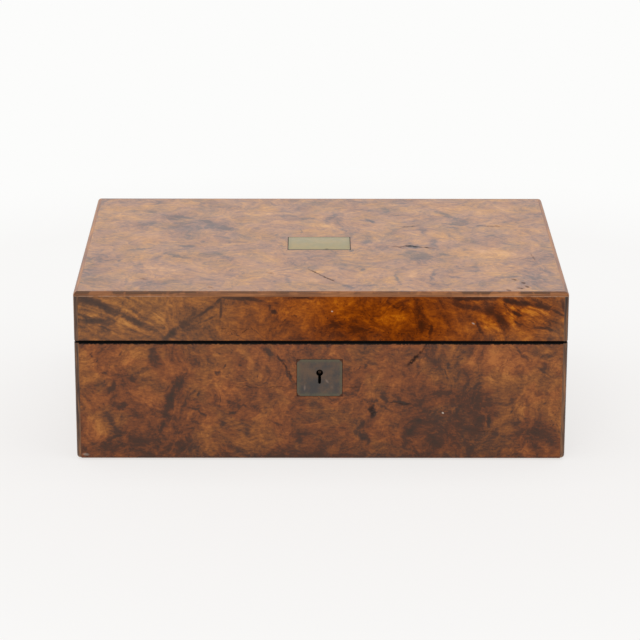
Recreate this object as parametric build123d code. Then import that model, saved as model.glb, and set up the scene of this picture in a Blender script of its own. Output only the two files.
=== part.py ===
from build123d import *
import math
import os

# A wooden writing box. The lid turns right over on two hinges at the back, so that both halves make one
# slope to write on. Millimetres. Origin at the middle of the underside, X to the right, Y to the back,
# Z up. The keyhole is in the front, at -Y.

# Outside of the closed box
BOX_W = 350.0
BOX_D = 252.0
BOX_H = 126.0
OUTER_ROUND = 2.6

# Parting line: level over the pen section, then slanting down to half the height at the back
RIM_LEVEL = 89.15
PEN_SECTION = 62.0
RIM_GAP = 1.7
FACING_T = 0.7
FACING_SETBACK = 0.8

# Boards, veneers and the solid beads along the edges
BOARD = 8.0
BOTTOM_BOARD = 7.0
TOP_BOARD = 7.0
VENEER = 1.0
EDGE_BEAD = 3.2
CORNER_LAP = 4.0
BAIZE_T = 0.8
BAIZE_MARGIN = 5.0

# Pen section
PARTITION = 6.0
DIVIDER = 4.0
WELL_W = 47.0
WELL_FLOOR = 3.0
WELL_PLAY = 5.5
WELL_HEADROOM = 3.0
TRAY_T = 20.0
TRAY_PLAY = 0.4
TRAY_DROP = 2.0
TROUGH_DEPTH = 12.0
TROUGH_WALL = 3.5
TROUGH_END = 16.0
SUPPORT_W = 6.0
SUPPORT_T = 6.0

# Inkwells
BOTTLE_H = 30.0
BOTTLE_BASE = 7.0
BOTTLE_CHAMFER = 3.0
NECK_R = 12.5
NECK_WALL = 3.0
NECK_H = 5.5
COLLAR_T = 2.0
CAP_WALL = 1.5
CAP_TOP = 1.8
CAP_ROUND = 0.8
CAP_LIFT = 0.3
CAP_CLEARANCE = 0.06

# Writing flaps and what carries them
FLAP_BOARD = 5.0
FLAP_PLAY = 0.5
LID_FLAP_PLAY = 1.6
FLAP_REST = 0.3
LEATHER_T = 0.8
LEATHER_DROP = 1.2
LEDGE_W = 6.0
LEDGE_T = 6.0
HINGE_RAIL_W = 10.0
HINGE_RAIL_H = 12.0
PULL_W = 14.0
PULL_L = 17.0
PULL_OUT = 7.0
PULL_T = 0.5
LID_PANEL_T = 4.0

# Butt hinges
HINGE_SPREAD = 220.0
HINGE_L = 50.0
HINGE_OVERHANG = 0.5
LEAF_W = 7.0
LEAF_T = 1.4
KNUCKLE_R = 2.3
KNUCKLE_COUNT = 5
KNUCKLE_GAP = 0.3
KNUCKLE_PLAY = 0.3
PIN_R = 1.0
PIN_CLEARANCE = 0.05

# Countersunk screws
SCREW_HEAD_R = 1.8
SCREW_HEAD_H = 0.9
SCREW_SHANK_R = 0.9
SCREW_SLOT_W = 0.5
SCREW_SLOT_DEPTH = 0.4
HINGE_SCREW_L = 8.0
HINGE_SCREW_PITCH = 17.0
PLATE_SCREW_L = 6.0
PLATE_SCREW_EDGE = 4.2

# Lock, with its keyhole and escutcheon
LOCK_X = -1.0
LOCK_DEPTH = 6.6
LOCK_SHEET = 1.0
LOCK_WALL = 0.8
LOCK_CASE_W = 48.0
LOCK_CASE_H = 35.0
BACK_PLATE_W = 62.0
BACK_PLATE_FOOT = 3.0
SELVEDGE_L = 66.0
SELVEDGE_T = 1.5
LINK_PLATE_L = 60.0
LINK_PLATE_T = 1.5
LOOP_SPREAD = 28.0
LOOP_T = 2.2
LOOP_W = 3.4
LOOP_H = 6.5
LOOP_LEG = 0.9
LOOP_PLAY = 0.3
LOOP_SWING = 0.9
BOLT_T = 1.0
BOLT_BAR_H = 4.0
BOLT_PRONG = 4.0
BOLT_POST = 3.0
BOLT_GAP = 0.6
BOLT_TALON_X = 2.0
BOLT_TALON_W = 10.0
BOLT_TALON_H = 5.0
BOLT_TALON_R = 2.5
SPRING_X = -13.0
SPRING_R = 12.0
SPRING_T = 0.5
SPRING_RISE = 3.5
DRILL_PIN_R = 1.1
KEYHOLE_DROP = 22.2
KEYHOLE_R = 2.4
KEYHOLE_SLOT_W = 2.0
KEYHOLE_SLOT_L = 8.25
ESCUTCHEON_W = 32.2
ESCUTCHEON_H = 27.4
ESCUTCHEON_DROP = 3.7
INLAY_T = 1.2
INLAY_CORNER = 0.8

# Name plate in the lid
NAME_PLATE_W = 45.9
NAME_PLATE_D = 33.0
NAME_PLATE_X = -1.0
NAME_PLATE_Y = -2.0

# How far a cutting tool reaches past what it cuts
SPARE = 1.0

# Planes that the rest is worked out from
HALF_W = BOX_W / 2
HALF_D = BOX_D / 2
WALL = BOARD + VENEER
IN_X = HALF_W - WALL
IN_Y = HALF_D - WALL
BOARD_X = HALF_W - VENEER
BOARD_Y = HALF_D - VENEER
HINGE_Y = HALF_D + HINGE_OVERHANG
HINGE_Z = BOX_H / 2
KINK_Y = -HALF_D + PEN_SECTION
FLOOR_Z = BAIZE_T + BOTTOM_BOARD
CEILING_Z = BOX_H - VENEER - TOP_BOARD
HALF_GAP = RIM_GAP / 2
FACING_GAP = HALF_GAP - FACING_T
FALL = (RIM_LEVEL - HINGE_Z) / (HALF_D - KINK_Y)
SLOPE = Pos(0, HALF_D, HINGE_Z) * Rot(-math.degrees(math.atan(FALL)), 0, 0)
PEN_BACK = KINK_Y - PARTITION
WELL_X = IN_X - WELL_W
TRAY_X = WELL_X - DIVIDER
RAIL_Y = IN_Y - HINGE_RAIL_W
FLAP_TOP = LEATHER_DROP + LEATHER_T
FLAP_DEPTH = FLAP_TOP + FLAP_BOARD
LEDGE_TOP = FLAP_DEPTH + FLAP_REST
INNER_DROP = LEATHER_DROP + FLAP_REST
SCREW_LINE = (LEAF_W + KNUCKLE_R + KNUCKLE_PLAY - HINGE_OVERHANG) / 2
BASE_RIM_Z = RIM_LEVEL - HALF_GAP
LID_RIM_Z = RIM_LEVEL + HALF_GAP
CASE_TOP = BASE_RIM_Z + FACING_T - SELVEDGE_T
CASE_FRONT = -IN_Y - LOCK_DEPTH
CASE_BACK = -IN_Y - LOCK_SHEET
KEYHOLE_Z = BASE_RIM_Z - KEYHOLE_DROP
LINK_Z = LID_RIM_Z - FACING_T
LOOP_Y = CASE_FRONT + LOCK_WALL + LOOP_PLAY + LOOP_W / 2
LOOP_FOOT_Z = LINK_Z - LOOP_H
BOLT_BAR_Z = LOOP_FOOT_Z - BOLT_GAP


def level(z):
    """A height that is the same at every depth."""
    return lambda y: z


def parting(offset):
    """The height of the parting line at a depth, moved up by offset."""
    return lambda y: RIM_LEVEL + offset - max(0.0, y - KINK_Y) * FALL


def slab(x0, x1, y0, y1, z0, z1):
    """A block between two corners."""
    block = Box(x1 - x0, y1 - y0, z1 - z0)
    return Pos((x0 + x1) / 2, (y0 + y1) / 2, (z0 + z1) / 2) * block


def between(x0, x1, y0, y1, low, high):
    """A block whose underside and top follow two heights along the depth."""
    depths = [y0, KINK_Y, y1] if y0 < KINK_Y < y1 else [y0, y1]
    outline = [(y, low(y)) for y in depths]
    outline += [(y, high(y)) for y in reversed(depths)]
    return extrude(Plane.YZ.offset(x0) * Polygon(*outline), x1 - x0, dir=(1, 0, 0))


def rod_x(radius, x0, x1, y, z):
    """A cylinder along X."""
    return Pos((x0 + x1) / 2, y, z) * Rot(0, 90, 0) * Cylinder(radius, x1 - x0)


def rod_y(radius, y0, y1, x, z):
    """A cylinder along Y."""
    return Pos(x, (y0 + y1) / 2, z) * Rot(90, 0, 0) * Cylinder(radius, y1 - y0)


def cut(piece, tools):
    """A piece with each tool taken out of it."""
    for tool in tools:
        piece = piece - tool
    return piece


def pair(make):
    """The right piece and its left twin."""
    right = make()
    return [right, mirror(right, Plane.YZ)]


# Outer shape

def envelope():
    """The rounded outside of the closed box."""
    block = slab(-HALF_W, HALF_W, -HALF_D, HALF_D, BAIZE_T, BOX_H)
    return fillet(block.edges(), OUTER_ROUND)


def corner_posts(low, high):
    """Square posts in the four upright corners."""
    posts = []
    for x in (-HALF_W, HALF_W - EDGE_BEAD):
        for y in (-HALF_D, HALF_D - EDGE_BEAD):
            posts.append(between(x, x + EDGE_BEAD, y, y + EDGE_BEAD, low, high))
    return posts


# Screws

def screw_blank(length):
    """The outer shape of a countersunk screw, its head level with z = 0 and its point down."""
    head = Pos(0, 0, -SCREW_HEAD_H / 2) * Cone(SCREW_SHANK_R, SCREW_HEAD_R, SCREW_HEAD_H)
    return head + Pos(0, 0, -length / 2) * Cylinder(SCREW_SHANK_R, length)


def screw(length):
    """A countersunk screw with a slotted head."""
    return screw_blank(length) - Box(2 * SCREW_HEAD_R, SCREW_SLOT_W, 2 * SCREW_SLOT_DEPTH)


def hinge_screw_places(up):
    """Where the hinge screws sit: in the base leaves pointing down, or in the lid leaves pointing up."""
    places = []
    for hinge_x in (-HINGE_SPREAD / 2, HINGE_SPREAD / 2):
        for step in (-1, 0, 1):
            x = hinge_x + step * HINGE_SCREW_PITCH
            height = FACING_GAP if up else -FACING_GAP
            turn = Rot(180, 0, 0) if up else Rot(0, 0, 0)
            places.append(SLOPE * Pos(x, -SCREW_LINE, height) * turn)
    return places


def selvedge_screw_places():
    """Where the two upright lock screws sit."""
    reach = SELVEDGE_L / 2 - PLATE_SCREW_EDGE
    return [Pos(LOCK_X + side * reach, -IN_Y - BOARD / 2, CASE_TOP + SELVEDGE_T) for side in (-1, 1)]


def back_plate_screw_places():
    """Where the two level lock screws sit, pointing forwards."""
    reach = (BACK_PLATE_W + LOCK_CASE_W) / 4
    turn = Rot(-90, 0, 0)
    return [Pos(LOCK_X + side * reach, -IN_Y, CASE_TOP - LOCK_CASE_H / 2) * turn for side in (-1, 1)]


def link_plate_screw_places():
    """Where the two link plate screws sit, pointing up."""
    reach = LINK_PLATE_L / 2 - PLATE_SCREW_EDGE
    turn = Rot(180, 0, 0)
    return [Pos(LOCK_X + side * reach, -IN_Y - BOARD / 2, LINK_Z) * turn for side in (-1, 1)]


# Hinges

def knuckles(owner, radius, spare):
    """The knuckles of one leaf of each hinge, with spare length at both ends."""
    length = (HINGE_L - (KNUCKLE_COUNT - 1) * KNUCKLE_GAP) / KNUCKLE_COUNT
    rods = []
    for hinge_x in (-HINGE_SPREAD / 2, HINGE_SPREAD / 2):
        for index in range(owner, KNUCKLE_COUNT, 2):
            start = hinge_x - HINGE_L / 2 + index * (length + KNUCKLE_GAP)
            rods.append(rod_x(radius, start - spare, start + length + spare, HINGE_Y, HINGE_Z))
    return rods


def leaf_blanks(up):
    """The flat leaves of both hinges, let into the lid or into the base."""
    z0 = FACING_GAP if up else -FACING_GAP - LEAF_T
    blanks = []
    for hinge_x in (-HINGE_SPREAD / 2, HINGE_SPREAD / 2):
        x0 = hinge_x - HINGE_L / 2
        blanks.append(SLOPE * slab(x0, x0 + HINGE_L, -LEAF_W, HINGE_OVERHANG, z0, z0 + LEAF_T))
    return blanks


def hinge_leaves(up):
    """Both leaves of the lid or of the base, with their knuckles, bores and screw holes."""
    own = 1 if up else 0
    relief = knuckles(1 - own, KNUCKLE_R + KNUCKLE_PLAY, KNUCKLE_GAP)
    bore = PIN_R + (PIN_CLEARANCE if up else 0.0)
    holes = [place * screw_blank(HINGE_SCREW_L) for place in hinge_screw_places(up)]
    leaves = []
    for side, blank in zip((-1, 1), leaf_blanks(up)):
        x0 = side * HINGE_SPREAD / 2 - HINGE_L / 2
        leaf = cut(blank, relief)
        for knuckle in knuckles(own, KNUCKLE_R, 0.0):
            if side * knuckle.center().X > 0:
                leaf = leaf + knuckle
        leaf = cut(leaf, holes)
        leaves.append(leaf - rod_x(bore, x0 - SPARE, x0 + HINGE_L + SPARE, HINGE_Y, HINGE_Z))
    return leaves


def hinge_pins():
    """The pins of both hinges."""
    pins = []
    for hinge_x in (-HINGE_SPREAD / 2, HINGE_SPREAD / 2):
        pins.append(rod_x(PIN_R, hinge_x - HINGE_L / 2, hinge_x + HINGE_L / 2, HINGE_Y, HINGE_Z))
    return pins


def hinge_recesses(up):
    """What the hinges take out of the wood: leaves, knuckles and screws."""
    tools = leaf_blanks(up)
    tools += [place * screw_blank(HINGE_SCREW_L) for place in hinge_screw_places(up)]
    for hinge_x in (-HINGE_SPREAD / 2, HINGE_SPREAD / 2):
        reach = HINGE_L / 2 + KNUCKLE_GAP
        tools.append(rod_x(KNUCKLE_R + KNUCKLE_PLAY, hinge_x - reach, hinge_x + reach, HINGE_Y, HINGE_Z))
    return tools


# Lock

def keyhole():
    """The keyhole, right through the front."""
    y0 = -HALF_D - SPARE
    y1 = CASE_FRONT + LOCK_WALL
    half = KEYHOLE_SLOT_W / 2
    foot = KEYHOLE_Z - KEYHOLE_SLOT_L + half
    slot = slab(LOCK_X - half, LOCK_X + half, y0, y1, foot, KEYHOLE_Z)
    return rod_y(KEYHOLE_R, y0, y1, LOCK_X, KEYHOLE_Z) + slot + rod_y(half, y0, y1, LOCK_X, foot)


def lock_block():
    """The outside of the lock case."""
    half = LOCK_CASE_W / 2
    return slab(LOCK_X - half, LOCK_X + half, CASE_FRONT, CASE_BACK, CASE_TOP - LOCK_CASE_H, CASE_TOP)


def back_plate_block():
    """The sheet that closes the lock, level with the inside of the front board."""
    half = BACK_PLATE_W / 2
    foot = CASE_TOP - LOCK_CASE_H - BACK_PLATE_FOOT
    return slab(LOCK_X - half, LOCK_X + half, CASE_BACK, -IN_Y, foot, CASE_TOP)


def selvedge_block():
    """The lock's top edge plate, level with the rim facing."""
    half = SELVEDGE_L / 2
    return slab(LOCK_X - half, LOCK_X + half, -BOARD_Y, -IN_Y, CASE_TOP, CASE_TOP + SELVEDGE_T)


def link_plate_block():
    """The plate in the lid's rim that carries the loops."""
    half = LINK_PLATE_L / 2
    return slab(LOCK_X - half, LOCK_X + half, -BOARD_Y, -IN_Y, LINK_Z, LINK_Z + LINK_PLATE_T)


def lock_case():
    """The case: front, two ends and a foot, open at the top and the back."""
    half = LOCK_CASE_W / 2 - LOCK_WALL
    foot = CASE_TOP - LOCK_CASE_H + LOCK_WALL
    hollow = slab(LOCK_X - half, LOCK_X + half, CASE_FRONT + LOCK_WALL, CASE_BACK, foot, CASE_TOP)
    return lock_block() - hollow - keyhole()


def lock_back_plate():
    """The back plate with its screw holes."""
    return cut(back_plate_block(), [p * screw_blank(PLATE_SCREW_L) for p in back_plate_screw_places()])


def loop_x(side):
    """The middle of a link plate loop along X."""
    return LOCK_X + side * LOOP_SPREAD / 2


def lock_selvedge():
    """The selvedge with a slot for each loop and its screw holes."""
    plate = cut(selvedge_block(), [p * screw_blank(PLATE_SCREW_L) for p in selvedge_screw_places()])
    reach = LOOP_T / 2 + 2 * LOOP_PLAY
    y0 = LOOP_Y - LOOP_W / 2 - LOOP_PLAY
    y1 = LOOP_Y + LOOP_W / 2 + LOOP_PLAY + LOOP_SWING
    for side in (-1, 1):
        x = loop_x(side)
        plate = plate - slab(x - reach, x + reach, y0, y1, CASE_TOP, CASE_TOP + SELVEDGE_T)
    return plate


def link_plate():
    """The link plate with its two loops and screw holes."""
    plate = cut(link_plate_block(), [p * screw_blank(PLATE_SCREW_L) for p in link_plate_screw_places()])
    half_w = LOOP_W / 2
    for side in (-1, 1):
        x0 = loop_x(side) - LOOP_T / 2
        x1 = x0 + LOOP_T
        plate = plate + slab(x0, x1, LOOP_Y - half_w, LOOP_Y + half_w, LOOP_FOOT_Z, LINK_Z)
        eye_w = half_w - LOOP_LEG
        eye_top = CASE_TOP - BOLT_GAP
        plate = plate - slab(x0, x1, LOOP_Y - eye_w, LOOP_Y + eye_w, LOOP_FOOT_Z + LOOP_LEG, eye_top)
    return plate


def lock_bolt():
    """The sliding bolt, unlocked: a bar, a prong beside each loop and a talon for the key."""
    y0 = LOOP_Y - BOLT_T / 2
    y1 = y0 + BOLT_T
    prong_z0 = LOOP_FOOT_Z + LOOP_LEG + LOOP_PLAY
    prong_z1 = CASE_TOP - BOLT_GAP - LOOP_PLAY
    tips = [loop_x(side) - LOOP_T / 2 - BOLT_GAP for side in (-1, 1)]
    bar_x0 = tips[0] - BOLT_PRONG - BOLT_POST
    bar_x1 = tips[1] - BOLT_PRONG
    bolt = slab(bar_x0, bar_x1, y0, y1, BOLT_BAR_Z - BOLT_BAR_H, BOLT_BAR_Z)
    for tip in tips:
        post_x1 = tip - BOLT_PRONG
        bolt = bolt + slab(post_x1 - BOLT_POST, post_x1, y0, y1, BOLT_BAR_Z, prong_z1)
        bolt = bolt + slab(post_x1, tip, y0, y1, prong_z0, prong_z1)
    talon_z = BOLT_BAR_Z - BOLT_BAR_H
    talon_x = LOCK_X + BOLT_TALON_X
    reach = BOLT_TALON_W / 2
    talon = slab(talon_x - reach, talon_x + reach, y0, y1, talon_z - BOLT_TALON_H, talon_z)
    notch = rod_y(BOLT_TALON_R, y0 - SPARE, y1 + SPARE, talon_x, talon_z - BOLT_TALON_H)
    return bolt + (talon - notch)


def lock_spring():
    """A bowed leaf spring between case and back plate, under the bolt."""
    top = BOLT_BAR_Z - BOLT_BAR_H - LOOP_PLAY
    x = LOCK_X + SPRING_X
    y0 = CASE_FRONT + LOCK_WALL
    ring = rod_y(SPRING_R, y0, CASE_BACK, x, top - SPRING_R)
    ring = ring - rod_y(SPRING_R - SPRING_T, y0, CASE_BACK, x, top - SPRING_R)
    return ring & slab(x - SPRING_R, x + SPRING_R, y0, CASE_BACK, top - SPRING_RISE, top)


def drill_pin():
    """The pin that the hollow key turns on."""
    return rod_y(DRILL_PIN_R, CASE_FRONT - LOOP_PLAY, CASE_BACK, LOCK_X, KEYHOLE_Z)


def lock_screws():
    """Two screws in the selvedge and two in the back plate."""
    return [place * screw(PLATE_SCREW_L) for place in selvedge_screw_places() + back_plate_screw_places()]


def lock_mortise():
    """What the lock takes out of the front board."""
    tools = [lock_block(), back_plate_block(), selvedge_block(), keyhole(), escutcheon_block()]
    for place in selvedge_screw_places() + back_plate_screw_places():
        tools.append(place * screw_blank(PLATE_SCREW_L))
    return tools


def link_mortise():
    """What the link plate takes out of the lid's front board."""
    return [link_plate_block()] + [p * screw_blank(PLATE_SCREW_L) for p in link_plate_screw_places()]


# Inlaid plates

def escutcheon_block():
    """The escutcheon before its keyhole is cut, level with the veneer."""
    plate = Box(ESCUTCHEON_W, INLAY_T, ESCUTCHEON_H)
    plate = fillet(plate.edges().filter_by(Axis.Y), INLAY_CORNER)
    return Pos(LOCK_X, -HALF_D + INLAY_T / 2, KEYHOLE_Z - ESCUTCHEON_DROP) * plate


def escutcheon():
    """The brass plate round the keyhole."""
    return escutcheon_block() - keyhole()


def name_plate():
    """The brass plate let into the lid."""
    plate = Box(NAME_PLATE_W, NAME_PLATE_D, INLAY_T)
    plate = fillet(plate.edges().filter_by(Axis.Z), INLAY_CORNER)
    return Pos(NAME_PLATE_X, NAME_PLATE_Y, BOX_H - INLAY_T / 2) * plate


# Walls of both halves

def end_wall_board(back, low, high):
    """A front or back board, rebated at its ends for the side boards."""
    side = 1 if back else -1
    y0, y1 = sorted((side * BOARD_Y, side * IN_Y))
    board = between(-BOARD_X, BOARD_X, y0, y1, low, high)
    lap0, lap1 = sorted((side * (BOARD_Y - CORNER_LAP), side * IN_Y))
    rebates = [between(x, x + BOARD, lap0, lap1, level(0), level(BOX_H)) for x in (-BOARD_X, IN_X)]
    return cut(board, rebates + corner_posts(level(0), level(BOX_H)))


def side_boards(low, high):
    """The two side boards."""
    reach = BOARD_Y - CORNER_LAP
    return pair(lambda: between(IN_X, BOARD_X, -reach, reach, low, high))


def end_veneer(back, low, high):
    """The veneer of the front or back, between the corner beads."""
    reach = HALF_W - EDGE_BEAD
    y0 = HALF_D - VENEER if back else -HALF_D
    return between(-reach, reach, y0, y0 + VENEER, low, high) & envelope()


def side_veneers(low, high):
    """The veneers of the two sides, between the corner beads."""
    reach = HALF_D - EDGE_BEAD
    return pair(lambda: between(BOARD_X, HALF_W, -reach, reach, low, high) & envelope())


def corner_beads(low, high):
    """The solid beads in the upright corners, rounded outside."""
    return [post & envelope() for post in corner_posts(low, high)]


def rim_facings(low, high, tools):
    """Four black strips on a rim, set back from the outside."""
    x = HALF_W - FACING_SETBACK
    y = HALF_D - FACING_SETBACK
    strips = [between(-x, x, -y, -IN_Y, low, high), between(-x, x, IN_Y, y, low, high)]
    strips += pair(lambda: between(IN_X, x, -IN_Y, IN_Y, low, high))
    return [cut(strip, tools) for strip in strips]


def flap_ledges(sign):
    """Ledges that a flap lies on: both sides and the front."""
    low, high = sorted((sign * LEDGE_TOP, sign * (LEDGE_TOP + LEDGE_T)))
    ledges = pair(lambda: between(IN_X - LEDGE_W, IN_X, KINK_Y, RAIL_Y, parting(low), parting(high)))
    reach = IN_X - LEDGE_W
    ledges.append(between(-reach, reach, KINK_Y, KINK_Y + LEDGE_W, parting(low), parting(high)))
    return ledges


def flap_layer(sign, near, far):
    """A layer of a flap, between two distances from the parting line.

    The lid's flap swings towards the front panel at first, so it stands further back from it.
    """
    low, high = sorted((sign * near, sign * far))
    reach = IN_X - FLAP_PLAY
    front = KINK_Y + (LID_FLAP_PLAY if sign > 0 else FLAP_PLAY)
    return between(-reach, reach, front, RAIL_Y - FLAP_PLAY, parting(low), parting(high))


def rail_layer(sign, near, far):
    """A layer of a hinge rail, between two distances from the parting line."""
    low, high = sorted((sign * near, sign * far))
    return between(-IN_X, IN_X, RAIL_Y, IN_Y, parting(low), parting(high))


def pull_tab(sign):
    """The tab that lifts a flap, lying on its leather and over the edge beside it."""
    low, high = sorted((sign * LEATHER_DROP, sign * (LEATHER_DROP - PULL_T)))
    y0 = KINK_Y - PULL_OUT
    return between(-PULL_W / 2, PULL_W / 2, y0, y0 + PULL_L, parting(low), parting(high))


# Pen section

def partition():
    """The board between the pen section and the compartment under the flap."""
    return between(-IN_X, IN_X, PEN_BACK, KINK_Y, level(FLOOR_Z), parting(-INNER_DROP))


def inkwell_dividers():
    """The boards that close the inkwell compartments."""
    top = parting(-INNER_DROP)
    return pair(lambda: between(TRAY_X, WELL_X, -IN_Y, PEN_BACK, level(FLOOR_Z), top))


def shoulder_z():
    """The height of a bottle's shoulder."""
    return BASE_RIM_Z - WELL_HEADROOM - CAP_TOP - CAP_LIFT - NECK_H


def well_center():
    """The middle of the right inkwell compartment."""
    return (WELL_X + IN_X) / 2, (PEN_BACK - IN_Y) / 2


def inkwell_floors():
    """The raised floors that the bottles stand on."""
    top = shoulder_z() - BOTTLE_H
    return pair(lambda: slab(WELL_X, IN_X, -IN_Y, PEN_BACK, top - WELL_FLOOR, top))


def bottle():
    """The right inkwell bottle: a square block of glass with a round neck and bore."""
    x, y = well_center()
    side = min(WELL_W, PEN_BACK + IN_Y) - 2 * WELL_PLAY
    block = Box(side, side, BOTTLE_H)
    block = chamfer(block.edges().filter_by(Axis.Z), BOTTLE_CHAMFER)
    body = Pos(0, 0, -BOTTLE_H / 2) * block
    neck = Pos(0, 0, NECK_H / 2) * Cylinder(NECK_R, NECK_H)
    depth = BOTTLE_H - BOTTLE_BASE + NECK_H
    bore = Pos(0, 0, NECK_H - depth / 2) * Cylinder(NECK_R - NECK_WALL, depth)
    return Pos(x, y, shoulder_z()) * (body + neck - bore)


def collar():
    """The brass collar on the right bottle's neck."""
    x, y = well_center()
    ring = Cylinder(NECK_R + COLLAR_T, NECK_H) - Cylinder(NECK_R, NECK_H)
    return Pos(x, y, shoulder_z() + NECK_H / 2) * ring


def cap(side):
    """A brass screw cap, on the left (-1) or the right (1) bottle."""
    x, y = well_center()
    inner = NECK_R + COLLAR_T + CAP_CLEARANCE
    skirt = NECK_H
    shell = Pos(0, 0, (skirt + CAP_TOP) / 2) * Cylinder(inner + CAP_WALL, skirt + CAP_TOP)
    shell = fillet(shell.edges().group_by(Axis.Z)[-1], CAP_ROUND)
    shell = shell - Pos(0, 0, skirt / 2) * Cylinder(inner, skirt)
    return Pos(side * x, y, shoulder_z() + CAP_LIFT) * shell


def pen_tray():
    """The tray with its scooped trough, round at both ends."""
    x = TRAY_X - TRAY_PLAY
    y0 = -IN_Y + TRAY_PLAY
    y1 = PEN_BACK - TRAY_PLAY
    top = RIM_LEVEL - TRAY_DROP
    half_chord = (y1 - y0) / 2 - TROUGH_WALL
    radius = (half_chord ** 2 + TROUGH_DEPTH ** 2) / (2 * TROUGH_DEPTH)
    y = (y0 + y1) / 2
    z = top + radius - TROUGH_DEPTH
    reach = x - TROUGH_END - half_chord
    trough = rod_x(radius, -reach, reach, y, z)
    for end in (-reach, reach):
        trough = trough + Pos(end, y, z) * Sphere(radius)
    return slab(-x, x, y0, y1, top - TRAY_T, top) - trough


def tray_supports():
    """The blocks that the tray stands on."""
    top = RIM_LEVEL - TRAY_DROP - TRAY_T
    return pair(lambda: slab(TRAY_X - SUPPORT_W, TRAY_X, -IN_Y, PEN_BACK, top - SUPPORT_T, top))


# Top and bottom

def baize():
    """The cloth under the box."""
    x = HALF_W - BAIZE_MARGIN
    y = HALF_D - BAIZE_MARGIN
    return slab(-x, x, -y, y, 0, BAIZE_T)


def bottom_board():
    """The board that the walls stand on."""
    board = slab(-BOARD_X, BOARD_X, -BOARD_Y, BOARD_Y, BAIZE_T, FLOOR_Z)
    return cut(board, corner_posts(level(0), level(BOX_H))) & envelope()


def top_edge_beads():
    """The four beads round the top of the lid, mitred at the corners."""
    outer_x, outer_y = HALF_W, HALF_D
    inner_x, inner_y = HALF_W - EDGE_BEAD, HALF_D - EDGE_BEAD
    front = [(-outer_x, -outer_y), (outer_x, -outer_y), (inner_x, -inner_y), (-inner_x, -inner_y)]
    right = [(outer_x, -outer_y), (outer_x, outer_y), (inner_x, inner_y), (inner_x, -inner_y)]
    beads = []
    for outline, plane in ((front, Plane.XZ), (right, Plane.YZ)):
        strip = extrude(Plane.XY.offset(BOX_H - EDGE_BEAD) * Polygon(*outline), EDGE_BEAD, dir=(0, 0, 1))
        strip = strip & envelope()
        beads += [strip, mirror(strip, plane)]
    return beads


def lid_top_board():
    """The board of the lid's top, notched for the edge beads and the name plate."""
    board = slab(-BOARD_X, BOARD_X, -BOARD_Y, BOARD_Y, CEILING_Z, BOX_H - VENEER)
    reach_x = HALF_W - EDGE_BEAD
    reach_y = HALF_D - EDGE_BEAD
    core = slab(-reach_x, reach_x, -reach_y, reach_y, CEILING_Z, BOX_H)
    low = slab(-HALF_W, HALF_W, -HALF_D, HALF_D, CEILING_Z, BOX_H - EDGE_BEAD)
    board = cut(board & (core + low), corner_posts(level(0), level(BOX_H)))
    return board - name_plate()


def lid_top_veneer():
    """The veneer of the lid's top, inside the edge beads."""
    reach_x = HALF_W - EDGE_BEAD
    reach_y = HALF_D - EDGE_BEAD
    return slab(-reach_x, reach_x, -reach_y, reach_y, BOX_H - VENEER, BOX_H) - name_plate()


def lid_front_panel():
    """The panel in the lid over the pen section."""
    return between(-IN_X, IN_X, -IN_Y, KINK_Y, parting(INNER_DROP), parting(INNER_DROP + LID_PANEL_T))


def lid_panel_rail():
    """The rail behind the front panel, which carries the lid's front ledge."""
    top = parting(LEDGE_TOP + LEDGE_T)
    return between(-IN_X, IN_X, PEN_BACK, KINK_Y, parting(INNER_DROP + LID_PANEL_T), top)


# Both halves put together

def base_parts():
    """Every piece of the base but the lock."""
    board = (level(FLOOR_Z), parting(-HALF_GAP))
    skin = (level(BAIZE_T), parting(-HALF_GAP))
    facing = (parting(-HALF_GAP), parting(-FACING_GAP))
    hinge = hinge_recesses(False)
    return {
        "baize": baize(),
        "base_bottom_board": bottom_board(),
        "base_front_board": cut(end_wall_board(False, *board), lock_mortise()),
        "base_back_board": cut(end_wall_board(True, *board), hinge),
        "base_side_boards": side_boards(*board),
        "base_front_veneer": end_veneer(False, *skin) - escutcheon_block(),
        "base_back_veneer": cut(end_veneer(True, *skin), hinge),
        "base_side_veneers": side_veneers(*skin),
        "base_corner_beads": corner_beads(*skin),
        "base_rim_facings": rim_facings(*facing, hinge + [selvedge_block()]),
        "base_flap_ledges": flap_ledges(-1),
        "base_hinge_rail": rail_layer(-1, FLAP_TOP, FLAP_TOP + HINGE_RAIL_H),
        "base_rail_leather": rail_layer(-1, LEATHER_DROP, FLAP_TOP),
        "base_flap": flap_layer(-1, FLAP_TOP, FLAP_DEPTH),
        "base_flap_leather": flap_layer(-1, LEATHER_DROP, FLAP_TOP),
        "base_flap_pull_tab": pull_tab(-1),
    }


def pen_parts():
    """Every piece of the pen section."""
    return {
        "partition": partition(),
        "inkwell_dividers": inkwell_dividers(),
        "inkwell_floors": inkwell_floors(),
        "inkwell_bottles": pair(bottle),
        "inkwell_collars": pair(collar),
        "inkwell_left_cap": cap(-1),
        "inkwell_right_cap": cap(1),
        "pen_tray": pen_tray(),
        "tray_supports": tray_supports(),
    }


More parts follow.
